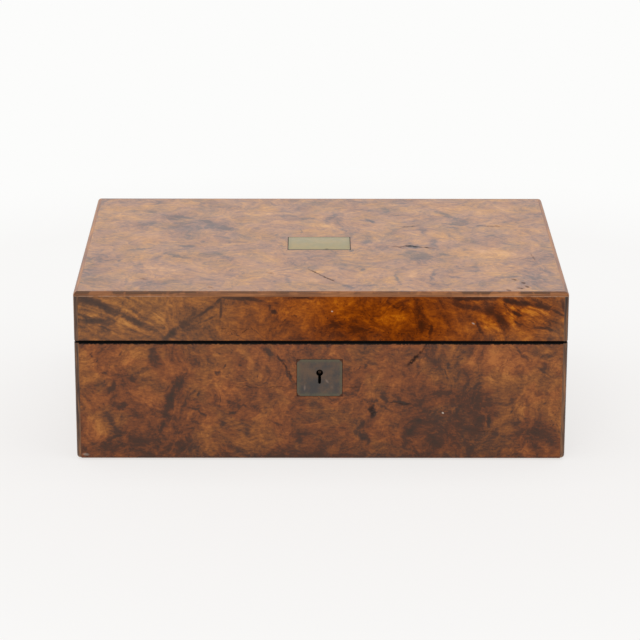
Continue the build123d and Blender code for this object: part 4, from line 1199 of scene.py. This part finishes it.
@dataclass
class Studio:
    """The camera, the lamps, the white surroundings and the floor."""

    camera_place: tuple[float, float, float] = (-0.00988, -2.00148, 0.707923)
    yaw: float = 0.004837
    pitch: float = 0.310738
    roll: float = 0.002379
    lens: float = 156.82
    floor_half: float = 6.0
    paper: Colour = (240, 239, 238)
    # The floor's glow is greyer near the box as a painted soft shadow, and white further out.
    near_shadow_grey: Colour = (242, 240, 238)
    far_white: Colour = (252, 252, 251)
    white_from: float = 0.24
    white_to: float = 0.7
    near_share: float = 0.78
    behind_from: float = -0.15
    behind_to: float = 0.3
    behind_share: float = 0.6
    ambient: float = 0.62
    seen_white: Colour = (252, 252, 252)
    lit_white: Colour = (252, 252, 255)
    nearest: float = 0.05
    aim: tuple[float, float, float] = (0.0, 0.0, 0.06)
    softboxes: tuple[Softbox, ...] = (
        Softbox("overhead_softbox", (0.0, -0.15, 1.9), 2.2, 1.8, 22.0),
        Softbox("front_softbox", (-0.5, -2.6, 1.5), 1.8, 1.4, 30.0),
    )

    def camera(self) -> None:
        """Puts the camera where the photograph was taken from."""
        ahead = Vector((math.sin(self.yaw) * math.cos(self.pitch),
                        math.cos(self.yaw) * math.cos(self.pitch), -math.sin(self.pitch)))
        level = Vector((math.cos(self.yaw), -math.sin(self.yaw), 0.0))
        above = level.cross(ahead)
        right = math.cos(self.roll) * level + math.sin(self.roll) * above
        up = -math.sin(self.roll) * level + math.cos(self.roll) * above
        data = bpy.data.cameras.new("camera")
        data.lens = self.lens
        data.clip_start = self.nearest
        camera = stand("camera", data)
        turn = Matrix((right, up, -ahead)).transposed()
        camera.matrix_world = Matrix.Translation(self.camera_place) @ turn.to_4x4()
        bpy.context.scene.camera = camera

    def lamp(self, softbox: Softbox) -> None:
        """Hangs a softbox so that it points at the box.

        Args:
            softbox: The lamp.
        """
        data = bpy.data.lights.new(softbox.name, "AREA")
        data.shape = "RECTANGLE"
        data.size, data.size_y = softbox.width, softbox.height
        data.energy = softbox.power
        lamp = stand(softbox.name, data)
        turn = (Vector(self.aim) - Vector(softbox.place)).to_track_quat("-Z", "Y").to_matrix()
        lamp.matrix_world = Matrix.Translation(softbox.place) @ turn.to_4x4()

    def surroundings(self) -> None:
        """Makes the world white where it is seen, and dimmer where it only lights."""
        graph = Graph("studio_white", world=True)
        bpy.context.scene.world = graph.owner
        dim = {"Color": srgb(*self.lit_white), "Strength": self.ambient}
        light = graph.add("ShaderNodeBackground", dim).outputs[0]
        white = graph.add("ShaderNodeBackground", {"Color": srgb(*self.seen_white)}).outputs[0]
        mixed = graph.add("ShaderNodeMixShader", {0: self.seen_ray(graph), 1: light, 2: white}).outputs[0]
        graph.add("ShaderNodeOutputWorld", {"Surface": mixed})

    def seen_ray(self, graph: Graph) -> Socket:
        """Tells the rays that see a surface from those that only light the object.

        Args:
            graph: The graph that asks.

        Returns:
            One for a ray from the camera, a reflection or a refraction, and else zero.
        """
        path = graph.add("ShaderNodeLightPath", {}).outputs
        mirrored = graph.math("MAXIMUM", path["Is Camera Ray"], path["Is Glossy Ray"])
        return graph.math("MAXIMUM", mirrored, path["Is Transmission Ray"])

    def floor(self) -> None:
        """Lays a pale floor that takes the shadow; where it is seen it mostly glows, greyer near the box as
        a painted soft shadow, and turns to plain white further out.
        """
        graph = Graph("studio_floor")
        place = graph.stretch(graph.millimetres(), MM)
        x, y, _ = graph.split(place)
        away = graph.reach(x, y)
        behind = graph.span(y, self.behind_from, self.behind_to, 0.0, self.behind_share)
        fade = graph.math("MAXIMUM", behind, graph.span(away, self.white_from, self.white_to))
        share = graph.math("MULTIPLY_ADD", fade, 1.0 - self.near_share, self.near_share)
        share = graph.math("MULTIPLY", share, self.seen_ray(graph))
        # Painted shadow: the glow is greyer near the box.
        white = graph.mix(fade, srgb(*self.near_shadow_grey), srgb(*self.far_white))
        paper = graph.add("ShaderNodeBsdfDiffuse", {"Color": srgb(*self.paper)}).outputs[0]
        glow = graph.add("ShaderNodeEmission", {"Color": white, "Strength": 1.0}).outputs[0]
        mixed = graph.add("ShaderNodeMixShader", {0: share, 1: paper, 2: glow}).outputs[0]
        graph.add("ShaderNodeOutputMaterial", {"Surface": mixed})
        sheet = bmesh.new()
        bmesh.ops.create_grid(sheet, x_segments=1, y_segments=1, size=self.floor_half)
        floor = stand("studio_floor", filled("studio_floor", sheet, graph.owner))

    def build(self) -> None:
        """Sets the whole studio up."""
        bpy.context.scene.view_settings.view_transform = "Standard"
        self.camera()
        self.surroundings()
        self.floor()
        for softbox in self.softboxes:
            self.lamp(softbox)
        LOG.info("the studio stands")


def copied(node: str) -> bmesh.types.BMesh:
    """A merged copy of a node's mesh, in millimetres.

    Args:
        node: The node's name.

    Returns:
        The shape, with flat faces whole again.
    """
    shape = bmesh.new()
    shape.from_mesh(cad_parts[node].data)
    bmesh.ops.scale(shape, vec=(1.0 / MM, 1.0 / MM, 1.0 / MM), verts=shape.verts)
    bmesh.ops.remove_doubles(shape, verts=shape.verts, dist=10 * CLOSE)
    bmesh.ops.dissolve_limit(shape, angle_limit=math.radians(1.0), verts=shape.verts, edges=shape.edges)
    shape.normal_update()
    return shape


def cut(shape: bmesh.types.BMesh, point: Vector, normal: Vector) -> None:
    """Cuts every face of a shape along a plane, and keeps both sides.

    Args:
        shape: The shape, in millimetres.
        point: A point on the plane.
        normal: The plane's normal.
    """
    geometry = [*shape.verts, *shape.edges, *shape.faces]
    bmesh.ops.bisect_plane(shape, geom=geometry, dist=CLOSE, plane_co=point, plane_no=normal)


@dataclass
class Piece:
    """A new piece of the visual model."""

    name: str
    slot: str
    finish: Finish
    stands_for: tuple[str, ...] = ()

    def make(self, shape: bmesh.types.BMesh) -> bpy.types.Object:
        """Turns a finished shape, in millimetres, into an object.

        Args:
            shape: The shape, which is used up.

        Returns:
            The object, which has its finish and stands for its nodes.
        """
        bmesh.ops.scale(shape, vec=(MM, MM, MM), verts=shape.verts)
        bmesh.ops.recalc_face_normals(shape, faces=shape.faces)
        mesh = filled(self.name, shape, self.finish.material)
        piece = stand(self.name, mesh)
        if self.stands_for:
            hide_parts(*self.stands_for)
        LOG.info("%s is made, %d faces", self.name, len(mesh.polygons))
        return piece


class Assembly(ABC):
    """A part of the box that dresses its nodes and makes its new pieces."""

    @abstractmethod
    def build(self, dresser: Dresser) -> None:
        """Dresses the nodes and makes the new pieces."""


@dataclass
class Veneers(Assembly):
    """The burr walnut sheets on the outside."""

    # Each plate is ringed in the veneer by a dark line of painted shade.
    name_plate: Inlay = Inlay(174.0, 123.6, 46.1, 33.6, 0.6)
    escutcheon: Inlay = Inlay(174.0, 62.4, 32.2, 27.4, 0.4)

    def build(self, dresser: Dresser) -> None:
        """Dresses every sheet.

        Args:
            dresser: What puts finishes on the CAD's nodes.
        """
        dresser.dress("lid_top_veneer", BurrVeneer(
            "burr_lid_top", Face.TOP, TOP_LILAC, TOP_TAN, seed=310.0, marks=TOP_MARKS, zones=TOP_ZONES,
            cracks=TOP_CRACKS, inlays=(self.name_plate,), specular=0.45, roughness=0.34, contrast=1.2,
            lift=1.1, depth=1.3, crack_and_shade_colour=(26, 29, 36)))
        # The base front turns to painted shade along the parting line at its top edge, and its escutcheon
        # has a painted shade line round it.
        dresser.dress("base_front_veneer", BurrVeneer(
            "burr_base_front", Face.FRONT, BURR_RED, BURR_GOLD, seed=40.0, marks=BASE_FRONT_MARKS,
            zones=BASE_FRONT_ZONES, cracks=BASE_FRONT_CRACKS, specks=BASE_FRONT_SPECKS,
            inlays=(self.escutcheon,), lift=0.95, contrast=1.15, parting_shade_edge=(88.3, 87.6),
            flame_zone=figure((296, 86, 345, 60, 34, 0.45)), flame_angle=-0.75))
        # The lid front's palettes carry a painted reflection of the white surroundings, and it turns to
        # painted shade along the parting line at its foot.
        dresser.dress("lid_front_veneer", BurrVeneer(
            "burr_lid_front", Face.FRONT, LID_RED_PAINTED_REFLECTION, LID_GOLD_PAINTED_REFLECTION, seed=71.0, marks=LID_FRONT_MARKS,
            zones=LID_FRONT_ZONES, cracks=LID_FRONT_CRACKS, specks=LID_FRONT_SPECKS, warm=AMBER,
            warm_zone=figure((150, 108, 290, 108, 90, 1.0), (270, 104, 330, 110, 44, 0.85)),
            flame_zone=figure((0, 116, 55, 104, 34, 1.8), (280, 118, 350, 106, 34, 1.8)),
            flame_angle=-0.45, specular=0.03, roughness=0.3, ragged=1.2, depth=1.15,
            parting_shade_edge=(90.0, 90.5)))
        for index, half in enumerate(("lid", "base")):
            dresser.dress(f"{half}_side_veneers", BurrVeneer(
                f"burr_{half}_sides", Face.SIDE, BURR_RED, BURR_GOLD, 130.0 + 9.0 * index, SIDE_MARKS))
            dresser.dress(f"{half}_back_veneer", BurrVeneer(
                f"burr_{half}_back", Face.BACK, BURR_RED, BURR_GOLD, 190.0 + 7.0 * index, BACK_MARKS))


@dataclass
class WornCorners:
    """The upright beads of the base, which are worn round at their feet."""

    node: str = "base_corner_beads"
    foot: float = 0.8
    worn: float = 4.2
    lap: float = 4.0
    deepest: float = 0.9
    half_width: float = HALF_WIDTH
    half_depth: float = HALF_DEPTH
    cuts: int = 6

    def build(self, finish: Finish) -> None:
        """Copies the beads and wears their feet.

        Args:
            finish: The finish of the beads.
        """
        shape = copied(self.node)
        for index in range(1, self.cuts + 1):
            level = self.foot + self.worn * (1.0 - math.cos(math.pi / 2 * index / self.cuts))
            cut(shape, Vector((0.0, 0.0, level)), Vector((0.0, 0.0, 1.0)))
        for vert in shape.verts:
            rise = min(1.0, max(0.0, (vert.co.z - self.foot) / self.worn))
            share = 1.0 - self.deepest * (1.0 - math.sqrt(1.0 - (1.0 - rise) ** 2))
            inner = Vector((math.copysign(self.half_width - self.lap, vert.co.x),
                            math.copysign(self.half_depth - self.lap, vert.co.y)))
            vert.co.xy = inner + share * (vert.co.xy - inner)
        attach(Piece("worn_base_corner_beads", "walnut_bead", finish, (self.node,)).make(shape), "base")


@dataclass
class Joinery(Assembly):
    """The boards, beads and facings, and the pieces of the pen section."""

    def build(self, dresser: Dresser) -> None:
        """Dresses every piece of solid wood.

        Args:
            dresser: What puts finishes on the CAD's nodes.
        """
        beads = EdgeBead("bead_lid_top", BEAD, Grain.ALONG_X, band=3.0, contrast=1.1, roughness=0.5,
                         specular=0.1)
        upright = StraightWood("bead_corners", CORNER, Grain.ALONG_Z, band=1.7, contrast=1.5,
                               roughness=0.36, specular=0.24, seed=5.0)
        # The ebonised facings are near black partly as painted shade of the parting line between lid and
        # base.
        facing = Plain("ebonised_facing", (2, 2, 2), (7, 6, 6), size=9.0, roughness=0.45, specular=0.06)
        pine = StraightWood("carcass_pine", PINE, Grain.ALONG_X, band=7.0, contrast=0.9, roughness=0.6)
        mahogany = StraightWood("mahogany", MAHOGANY, Grain.ALONG_X, band=8.0, contrast=0.9,
                                roughness=0.4, specular=0.4)
        WornCorners().build(upright)
        dresser.dress_all(beads, "lid_top_edge_beads")
        dresser.dress_all(upright, "lid_corner_beads")
        dresser.dress_all(facing, "lid_rim_facings", "base_rim_facings")
        dresser.dress_all(pine, "base_bottom_board", "base_back_board", "lid_top_board", "lid_front_board",
                          "lid_back_board")
        # The front board gets painted shade round the keyhole.
        dresser.dress_all(replace(pine, name="carcass_pine_lock", keyhole=True), "base_front_board")
        dresser.dress_all(replace(pine, name="carcass_pine_sides", grain=Grain.ALONG_Y), "base_side_boards",
                          "lid_side_boards")
        dresser.dress_all(mahogany, "partition", "inkwell_floors", "tray_supports", "base_flap", "lid_flap",
                          "base_hinge_rail", "lid_hinge_rail", "lid_front_panel")
        dresser.dress_all(replace(mahogany, name="mahogany_inked", stains=TRAY_STAINS), "pen_tray")
        dresser.dress_all(replace(mahogany, name="mahogany_crosswise", grain=Grain.ALONG_Y),
                          "inkwell_dividers", "base_flap_ledges", "lid_flap_ledges")


@dataclass(frozen=True)
class Slope:
    """The plane where the halves part: level over the pen section, then down to the hinges."""

    rim: float = 89.15
    kink: float = -64.0
    fall: float = 0.137632

    def height(self, y: float) -> float:
        """The height of the parting plane at a depth."""
        return self.rim - max(0.0, y - self.kink) * self.fall


@dataclass
class WritingSurface(Assembly):
    """One sheet of leather over each flap and its rail, the pull tabs, and the baize underneath."""

    slope: Slope = field(default_factory=Slope)
    half_width: float = 165.4
    back: float = 117.0
    base_front: float = -63.5
    lid_front: float = -62.4
    drop: float = 1.2
    thickness: float = 0.8
    hinge: float = 106.75
    bend: float = 1.5
    step: float = 5.0
    cockle: float = 0.1
    cockle_size: float = 17.0
    cockle_seed: float = 40.0
    tab_half_width: float = 6.8
    tab_front: float = -70.8
    tab_back: float = -54.2
    tab_thickness: float = 0.4
    tab_gap: float = 0.75
    tab_step: float = 1.0
    tab_notch: float = 3.2
    tab_ripple: float = 0.05
    baize_half_width: float = 168.6
    baize_half_depth: float = 119.6
    baize_thickness: float = 0.72
    baize_step: float = 4.0
    baize_wander: float = 0.25
    baize_wave_size: float = 6.0
    baize_wave: float = 0.03

    def sheet(self, low: tuple[float, float], high: tuple[float, float], step: float) -> bmesh.types.BMesh:
        """A flat grid between two corners.

        Args:
            low: The left and front ends.
            high: The right and back ends.
            step: The rough size of one cell.

        Returns:
            The grid, at height zero.
        """
        shape = bmesh.new()
        size = Vector((high[0] - low[0], high[1] - low[1], 0.0))
        counts = (max(1, round(size.x / step)), max(1, round(size.y / step)))
        bmesh.ops.create_grid(shape, x_segments=counts[0], y_segments=counts[1], size=0.5)
        bmesh.ops.scale(shape, vec=(size.x, size.y, 1.0), verts=shape.verts)
        middle = Vector(((low[0] + high[0]) / 2, (low[1] + high[1]) / 2, 0.0))
        bmesh.ops.translate(shape, vec=middle, verts=shape.verts)
        return shape

    def thicken(self, shape: bmesh.types.BMesh, rise: float) -> None:
        """Gives a grid a thickness.

        Args:
            shape: The grid.
            rise: How far the second side is above the first, or below it if negative.
        """
        grown = bmesh.ops.extrude_face_region(shape, geom=list(shape.faces))["geom"]
        moved = [item for item in grown if isinstance(item, bmesh.types.BMVert)]
        bmesh.ops.translate(shape, vec=(0.0, 0.0, rise), verts=moved)

    def leather(self, side: str, sign: float, front: float) -> None:
        """Lays one sheet of leather.

        Args:
            side: The half of the box, base or lid.
            sign: Minus one where the leather is under the parting plane, one where it is above it.
            front: Where the flap begins.
        """
        shape = self.sheet((-self.half_width, front), (self.half_width, self.back), self.step)
        for share in (-1.0, -0.5, 0.0, 0.5, 1.0):
            cut(shape, Vector((0.0, self.hinge + share * self.bend, 0.0)), Vector((0.0, 1.0, 0.0)))
        for vert in shape.verts:
            wave = noise.noise(Vector((vert.co.x, vert.co.y, self.cockle_seed * sign)) / self.cockle_size)
            lift = self.cockle * (wave - 1.0)
            vert.co.z = self.slope.height(vert.co.y) + sign * (self.drop - lift)
        self.thicken(shape, sign * (self.thickness - 2.0 * self.cockle))
        flat_map = shape.loops.layers.uv.new(FLAT_MAP)
        for face in shape.faces:
            for loop in face.loops:
                loop[flat_map].uv = loop.vert.co.xy * MM
        finish = Leather(f"{side}_leather_skin", self.half_width, front, self.back)
        stands_for = (f"{side}_flap_leather", f"{side}_rail_leather")
        piece = Piece(f"{side}_writing_leather", "writing_leather", finish, stands_for).make(shape)
        level = self.slope.height(self.hinge) + sign * (self.drop + self.thickness / 2)
        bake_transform(piece)

    def pull_tab(self, side: str, sign: float, ribbon: Finish) -> None:
        """Makes a ribbon tab with a swallowtail end at the front of a flap.

        Args:
            side: The half of the box, base or lid.
            sign: Minus one where the tab is under the parting plane, one where it is above it.
            ribbon: The finish of the ribbon.
        """
        corners = ((-self.tab_half_width, self.tab_front), (self.tab_half_width, self.tab_back))
        shape = self.sheet(*corners, self.tab_step)
        for vert in shape.verts:
            share = (self.tab_back - vert.co.y) / (self.tab_back - self.tab_front)
            notch = self.tab_notch * (1.0 - abs(vert.co.x) / self.tab_half_width)
            vert.co.y += notch * share ** 6
            wave = self.tab_ripple * math.sin(vert.co.x * 0.9 + vert.co.y * 0.35)
            vert.co.z = self.slope.height(vert.co.y) + sign * (self.tab_gap + wave)
        self.thicken(shape, sign * self.tab_thickness)
        node = f"{side}_flap_pull_tab"
        piece = Piece(f"{side}_ribbon_tab", "pull_ribbon", ribbon, (node,)).make(shape)
        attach(piece, f"{side}_flap")

    def baize(self) -> None:
        """Glues the baize under the box, with a slightly uneven edge."""
        corner = (self.baize_half_width, self.baize_half_depth)
        shape = self.sheet((-corner[0], -corner[1]), corner, self.baize_step)
        for vert in shape.verts:
            wave = noise.noise(Vector((vert.co.x, vert.co.y, 0.0)) / self.baize_wave_size)
            vert.co.x += self.baize_wander * wave * abs(vert.co.x) / self.baize_half_width
            vert.co.y += self.baize_wander * wave * abs(vert.co.y) / self.baize_half_depth
            vert.co.z = self.baize_wave * (1.0 + wave)
        self.thicken(shape, self.baize_thickness)
        cloth = Plain("green_baize", (28, 52, 36), (40, 68, 48), size=4.0, roughness=0.95,
                      rough_change=0.05, specular=0.1, sheen=0.6, bump_size=0.5, bump_depth=0.15)
        piece = Piece("baize_cloth", "baize_cloth", cloth, ("baize",)).make(shape)
        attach(piece, "base")

    def build(self, dresser: Dresser) -> None:
        """Makes the soft pieces.

        Args:
            dresser: What puts finishes on the CAD's nodes; not used here.
        """
        ribbon = Ribbon("silk_ribbon")
        for side, sign, front in (("base", -1.0, self.base_front), ("lid", 1.0, self.lid_front)):
            self.leather(side, sign, front)
            self.pull_tab(side, sign, ribbon)
        self.baize()


@dataclass
class Inkwells(Assembly):
    """The brass screw caps of the inkwells, with a milled band, and the glass bottles."""

    centre_x: float = 142.5
    centre_y: float = -93.5
    bottom: float = 78.0
    top: float = 85.3
    bore: float = 14.56
    radius: float = 16.05
    ceiling: float = 83.5
    ridges: int = 72
    ridge_depth: float = 0.32
    band: tuple[float, float] = (79.95, 83.15)

    def profile(self) -> list[tuple[float, float]]:
        """The cap's section.

        Returns:
            Radius and height, from the middle of the top round to the middle of the ceiling.
        """
        r, low, high = self.radius, self.bottom, self.top
        start, end = self.band
        return [
            # The top, with a turned groove
            (0.0, high), (8.2, high - 0.06), (8.5, high - 0.28), (9.0, high - 0.28), (9.3, high - 0.08),
            (13.6, high - 0.16), (14.9, high - 0.36), (15.6, high - 0.8),
            # The side, with the band that is milled
            (15.75, end + 0.75), (15.6, end + 0.4), (15.7, end + 0.1), (r, end - 0.15),
            (r, (start + end) / 2), (r, start + 0.15), (15.7, start - 0.1), (15.6, start - 0.4),
            (15.7, start - 0.7), (r, start - 0.95), (r, low + 0.5), (r - 0.25, low + 0.08), (r - 0.6, low),
            # The bore
            (self.bore + 0.2, low), (self.bore, low + 0.25), (self.bore, self.ceiling), (0.0, self.ceiling),
        ]

    def cap(self, side: str, sign: float, brass: Finish) -> None:
        """Turns one cap and mills its band.

        Args:
            side: The side of the box that it is on.
            sign: Minus one at the left, one at the right.
            brass: Its finish.
        """
        shape = bmesh.new()
        points = [shape.verts.new((radius, 0.0, height)) for radius, height in self.profile()]
        edges = [shape.edges.new(pair) for pair in zip(points, points[1:])]
        steps = 2 * self.ridges
        bmesh.ops.spin(shape, geom=[*points, *edges], cent=(0.0, 0.0, 0.0), axis=(0.0, 0.0, 1.0),
                       angle=math.tau, steps=steps, use_merge=True, use_duplicate=False)
        bmesh.ops.remove_doubles(shape, verts=shape.verts, dist=CLOSE)
        low, high = self.band
        for vert in shape.verts:
            milled = low < vert.co.z < high and vert.co.xy.length > self.radius - 0.05
            number = round(math.atan2(vert.co.y, vert.co.x) / math.tau * steps)
            if milled and number % 2:
                vert.co.xy *= (self.radius - self.ridge_depth) / self.radius
        bmesh.ops.translate(shape, vec=(sign * self.centre_x, self.centre_y, 0.0), verts=shape.verts)
        body = f"inkwell_{side}_cap"
        piece = Piece(f"milled_{side}_cap", "brass", brass, (body,)).make(shape)
        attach(piece, body)

    def build(self, dresser: Dresser) -> None:
        """Makes both caps and dresses the bottles.

        Args:
            dresser: What puts finishes on the CAD's nodes.
        """
        brass = Plain("cap_brass", (164, 126, 66), (126, 94, 48), size=7.0, metallic=1.0, roughness=0.32,
                      rough_change=0.22, bump_depth=0.02)
        for side, sign in (("left", -1.0), ("right", 1.0)):
            self.cap(side, sign, brass)
        dresser.dress("inkwell_bottles", Glass("inkwell_glass"))


@dataclass
class Plates(Assembly):
    """The inlaid brass plates, with edges worn soft."""

    wear: float = 0.22
    rim_depth: float = 0.01
    rim_angle: float = 1.0

    def softened(self, node: str, normal: Vector) -> bmesh.types.BMesh:
        """A copy of a plate whose outer edges are rounded.

        Args:
            node: The plate's node.
            normal: The way that its face looks.

        Returns:
            The shape, in millimetres.
        """
        shape = copied(node)
        level = max(vert.co.dot(normal) for vert in shape.verts)
        rim = []
        for edge in shape.edges:
            outer = all(vert.co.dot(normal) > level - self.rim_depth for vert in edge.verts)
            if outer and len(edge.link_faces) == 2 and edge.calc_face_angle() > self.rim_angle:
                rim.append(edge)
        bmesh.ops.bevel(shape, geom=rim, offset=self.wear, offset_type="OFFSET", segments=3, profile=0.5,
                        affect="EDGES", material=-1, clamp_overlap=True)
        bmesh.ops.triangulate(shape, faces=shape.faces)
        return shape

    def build(self, dresser: Dresser) -> None:
        """Makes both plates.

        Args:
            dresser: What puts finishes on the CAD's nodes; not used here.
        """
        name_plate = InlaidPlate(
            "name_plate_brass", (172, 154, 116), (160, 150, 118), (150, 140, 108),
            centre=(-1.0, -2.0, 126.0), half_width=22.95, half_height=16.5,
            nicks=figure((5, -15.2, 6.2, -15, 1.6, -0.8), (-9, 3, -4, 3.4, 0.4, 0.1)))
        escutcheon = InlaidPlate(
            "escutcheon_brass", (104, 86, 73), (78, 74, 72), (98, 93, 77),
            centre=(-1.0, -126.0, 62.4), half_width=16.1, half_height=13.7, upright=True,
            nicks=figure((4.6, -1.6, 5.9, -3.4, 1.3, 0.24), (-10.5, -6.0, -10.7, -9.0, 1.3, 0.2),
                         (8.6, -6.4, 9.2, -7.4, 1.4, 0.08)),
            keyhole=True, roughness=0.5, corner=4.0)
        plates = (("name_plate", "name_plate_brass", name_plate, Vector((0.0, 0.0, 1.0)), "lid"),
                  ("escutcheon", "escutcheon_brass", escutcheon, Vector((0.0, -1.0, 0.0)), "base"))
        for node, slot, finish, normal, body in plates:
            shape = self.softened(node, normal)
            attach(Piece(f"worn_{node}", slot, finish, (node,)).make(shape), body)


@dataclass
class Metalwork(Assembly):
    """The hinges, the lock, the collars and the screws."""

    def build(self, dresser: Dresser) -> None:
        """Dresses every piece of metal that keeps its shape.

        Args:
            dresser: What puts finishes on the CAD's nodes.
        """
        brass = Plain("old_brass", (160, 122, 62), (120, 88, 44), size=6.0, metallic=1.0, roughness=0.36,
                      rough_change=0.25, bump_depth=0.02)
        steel = Plain("lock_steel", (120, 118, 116), (84, 78, 74), size=5.0, metallic=1.0, roughness=0.42,
                      rough_change=0.3)
        pin = Plain("lock_pin", (66, 52, 42), (46, 37, 31), size=3.0, metallic=1.0, roughness=0.6)
        dresser.dress_all(brass, "base_hinge_leaves", "lid_hinge_leaves", "base_hinge_screws",
                          "lid_hinge_screws", "inkwell_collars", "lock_selvedge", "link_plate",
                          "link_plate_screws", "lock_screws")
        # The lock's back plate and case get painted shade round the keyhole.
        brass_with_keyhole_shade = replace(brass, name="old_brass_lock", bump_depth=0.03, keyhole=True)
        dresser.dress_all(brass_with_keyhole_shade, "lock_back_plate")
        dresser.dress_all(steel, "lock_bolt", "lock_spring", "hinge_pins")
        dresser.dress_all(replace(steel, name="lock_steel_dark", keyhole=True), "lock_case")
        dresser.dress_all(pin, "lock_drill_pin")


def main() -> None:
    """Builds the whole visual model round the frame."""
    logging.basicConfig(level=logging.INFO, format="%(message)s")
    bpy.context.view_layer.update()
    dresser = Dresser()
    Studio().build()
    for assembly in (Veneers(), Joinery(), WritingSurface(), Inkwells(), Metalwork(), Plates()):
        assembly.build(dresser)
    LOG.info("%d nodes are finished", dresser.count)


if __name__ == "__main__":
    main()
